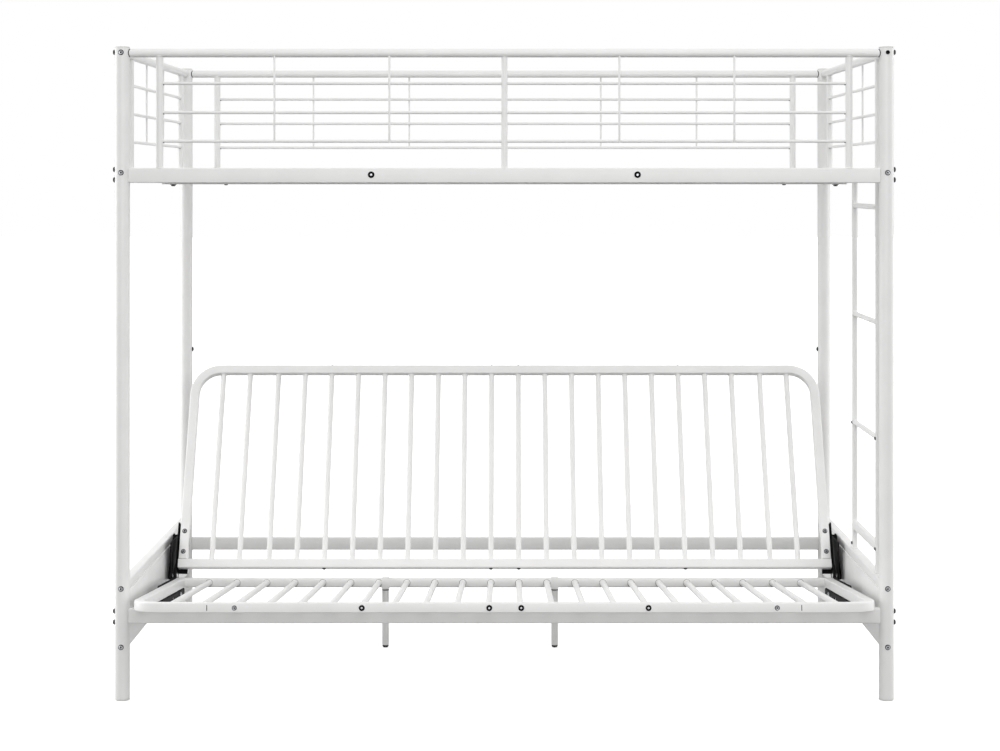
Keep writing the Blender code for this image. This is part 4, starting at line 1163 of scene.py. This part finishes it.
def build_floor():
    """Floor of white paper. Round the bed it throws light back up; beyond that the studio floor is dark."""
    bpy.ops.mesh.primitive_plane_add(size=FLOOR_SIZE, location=FLOOR_CENTRE)
    floor = bpy.context.object
    floor.name = "studio_floor"
    paper = bpy.data.materials.new("white_studio_floor")
    paper.use_nodes = True
    tree = paper.node_tree
    shader = tree.nodes["Principled BSDF"]
    shader.inputs["Roughness"].default_value = 0.9
    shader.inputs["Specular IOR Level"].default_value = 0.0
    seen = either_ray(tree, "Is Camera Ray", "Is Glossy Ray")
    place = add_node(tree, "ShaderNodeTexCoord").outputs["Object"]
    from_bed = add_node(
        tree,
        "ShaderNodeVectorMath",
        {"operation": "DISTANCE"},
        {0: place},
        {1: (-FLOOR_CENTRE[0], -FLOOR_CENTRE[1], 0.0)},
    ).outputs["Value"]
    near, far = BRIGHT_PAPER
    bright_paper = add_node(
        tree,
        "ShaderNodeMapRange",
        links={"Value": from_bed},
        values={"From Min": near, "From Max": far, "To Min": 1.0, "To Max": 0.0},
    ).outputs["Result"]
    bounce = add_node(tree, "ShaderNodeMix", {"data_type": "RGBA"}, {0: bright_paper})
    bounce.inputs[6].default_value = linear("#303030")
    bounce.inputs[7].default_value = linear("#626260")
    colour = add_node(tree, "ShaderNodeMix", {"data_type": "RGBA"}, {0: seen, 6: bounce.outputs[2]})
    colour.inputs[7].default_value = linear("#F4F4F4")
    tree.links.new(colour.outputs[2], shader.inputs["Base Color"])
    # The paper is seen as white as the backdrop, a little less so near the bed, where it keeps the shadows.
    level = add_node(
        tree,
        "ShaderNodeMapRange",
        links={"Value": bright_paper},
        values={"From Min": 0.0, "From Max": 1.0, "To Min": 0.86, "To Max": 0.50},
    ).outputs["Result"]
    glow = add_node(tree, "ShaderNodeMath", {"operation": "MULTIPLY"}, {0: seen, 1: level})
    shader.inputs["Emission Color"].default_value = (1, 1, 1, 1)
    tree.links.new(glow.outputs["Value"], shader.inputs["Emission Strength"])
    floor.data.materials.append(paper)


def build_backdrop():
    """Plain white where it is seen; the even light that it gives is a little weaker."""
    world = bpy.data.worlds.new("white_studio")
    bpy.context.scene.world = world
    world.use_nodes = True
    tree = world.node_tree
    tree.nodes.clear()
    ambient = add_node(tree, "ShaderNodeBackground", values={"Color": (1, 1, 1, 1), "Strength": 0.85})
    white = add_node(tree, "ShaderNodeBackground", values={"Color": (1, 1, 1, 1), "Strength": 1.0})
    seen = either_ray(tree, "Is Camera Ray", "Is Transmission Ray", "Is Glossy Ray")
    mixed = add_node(
        tree,
        "ShaderNodeMixShader",
        links={0: seen, 1: ambient.outputs[0], 2: white.outputs[0]},
    )
    add_node(tree, "ShaderNodeOutputWorld", links={"Surface": mixed.outputs[0]})
    bpy.context.scene.view_settings.view_transform = "Standard"


def add_light(name, place, target, size, energy):
    """Rectangular soft light aimed at a target; size is its width and height in metres, energy in watts."""
    lamp = bpy.data.lights.new(name, "AREA")
    lamp.shape = "RECTANGLE"
    lamp.size, lamp.size_y = size
    lamp.energy = energy
    light = bpy.data.objects.new(name, lamp)
    light.location = place
    direction = Vector(target) - Vector(place)
    light.rotation_euler = direction.to_track_quat("-Z", "Y").to_euler()
    bpy.context.scene.collection.objects.link(light)


def build_lights():
    add_light("left_softbox", (-3.5, 0.3, 1.3), (0, -0.2, 0.9), (1.8, 2.6), 58)
    add_light("right_softbox", (3.5, 0.3, 1.3), (0, -0.2, 0.9), (1.8, 2.6), 34)
    add_light("high_key", (0.4, -3.6, 3.3), (0, 0, 1.0), (2.8, 1.4), 27)
    add_light("front_key", (0.4, -6.4, 1.7), (0, 0, 1.3), (3.8, 2.0), 86)


def dress_plain_solids():
    """Gives the solids that no piece replaces the finish that the record names for them."""
    slots = {part["node"]: part["material_slot"] for part in frame["record"]["subparts"]}
    for node in frame["nodes"].values():
        if not node.hide_render:
            node.data.materials.clear()
            node.data.materials.append(FINISHES[slots[node.name]])


FINISHES = build_finishes()
build_camera()
build_posts()
build_rails()
build_bunk_base()
build_guards()
build_ladder()
build_end_frames()
build_seat_front()
build_seat_sides()
build_seat_grid()
build_legs()
build_back()
build_post_bolts()
build_rail_bolts()
build_ladder_screws()
build_seat_bolts()
build_back_bolts()
dress_plain_solids()
build_floor()
build_backdrop()
build_lights()
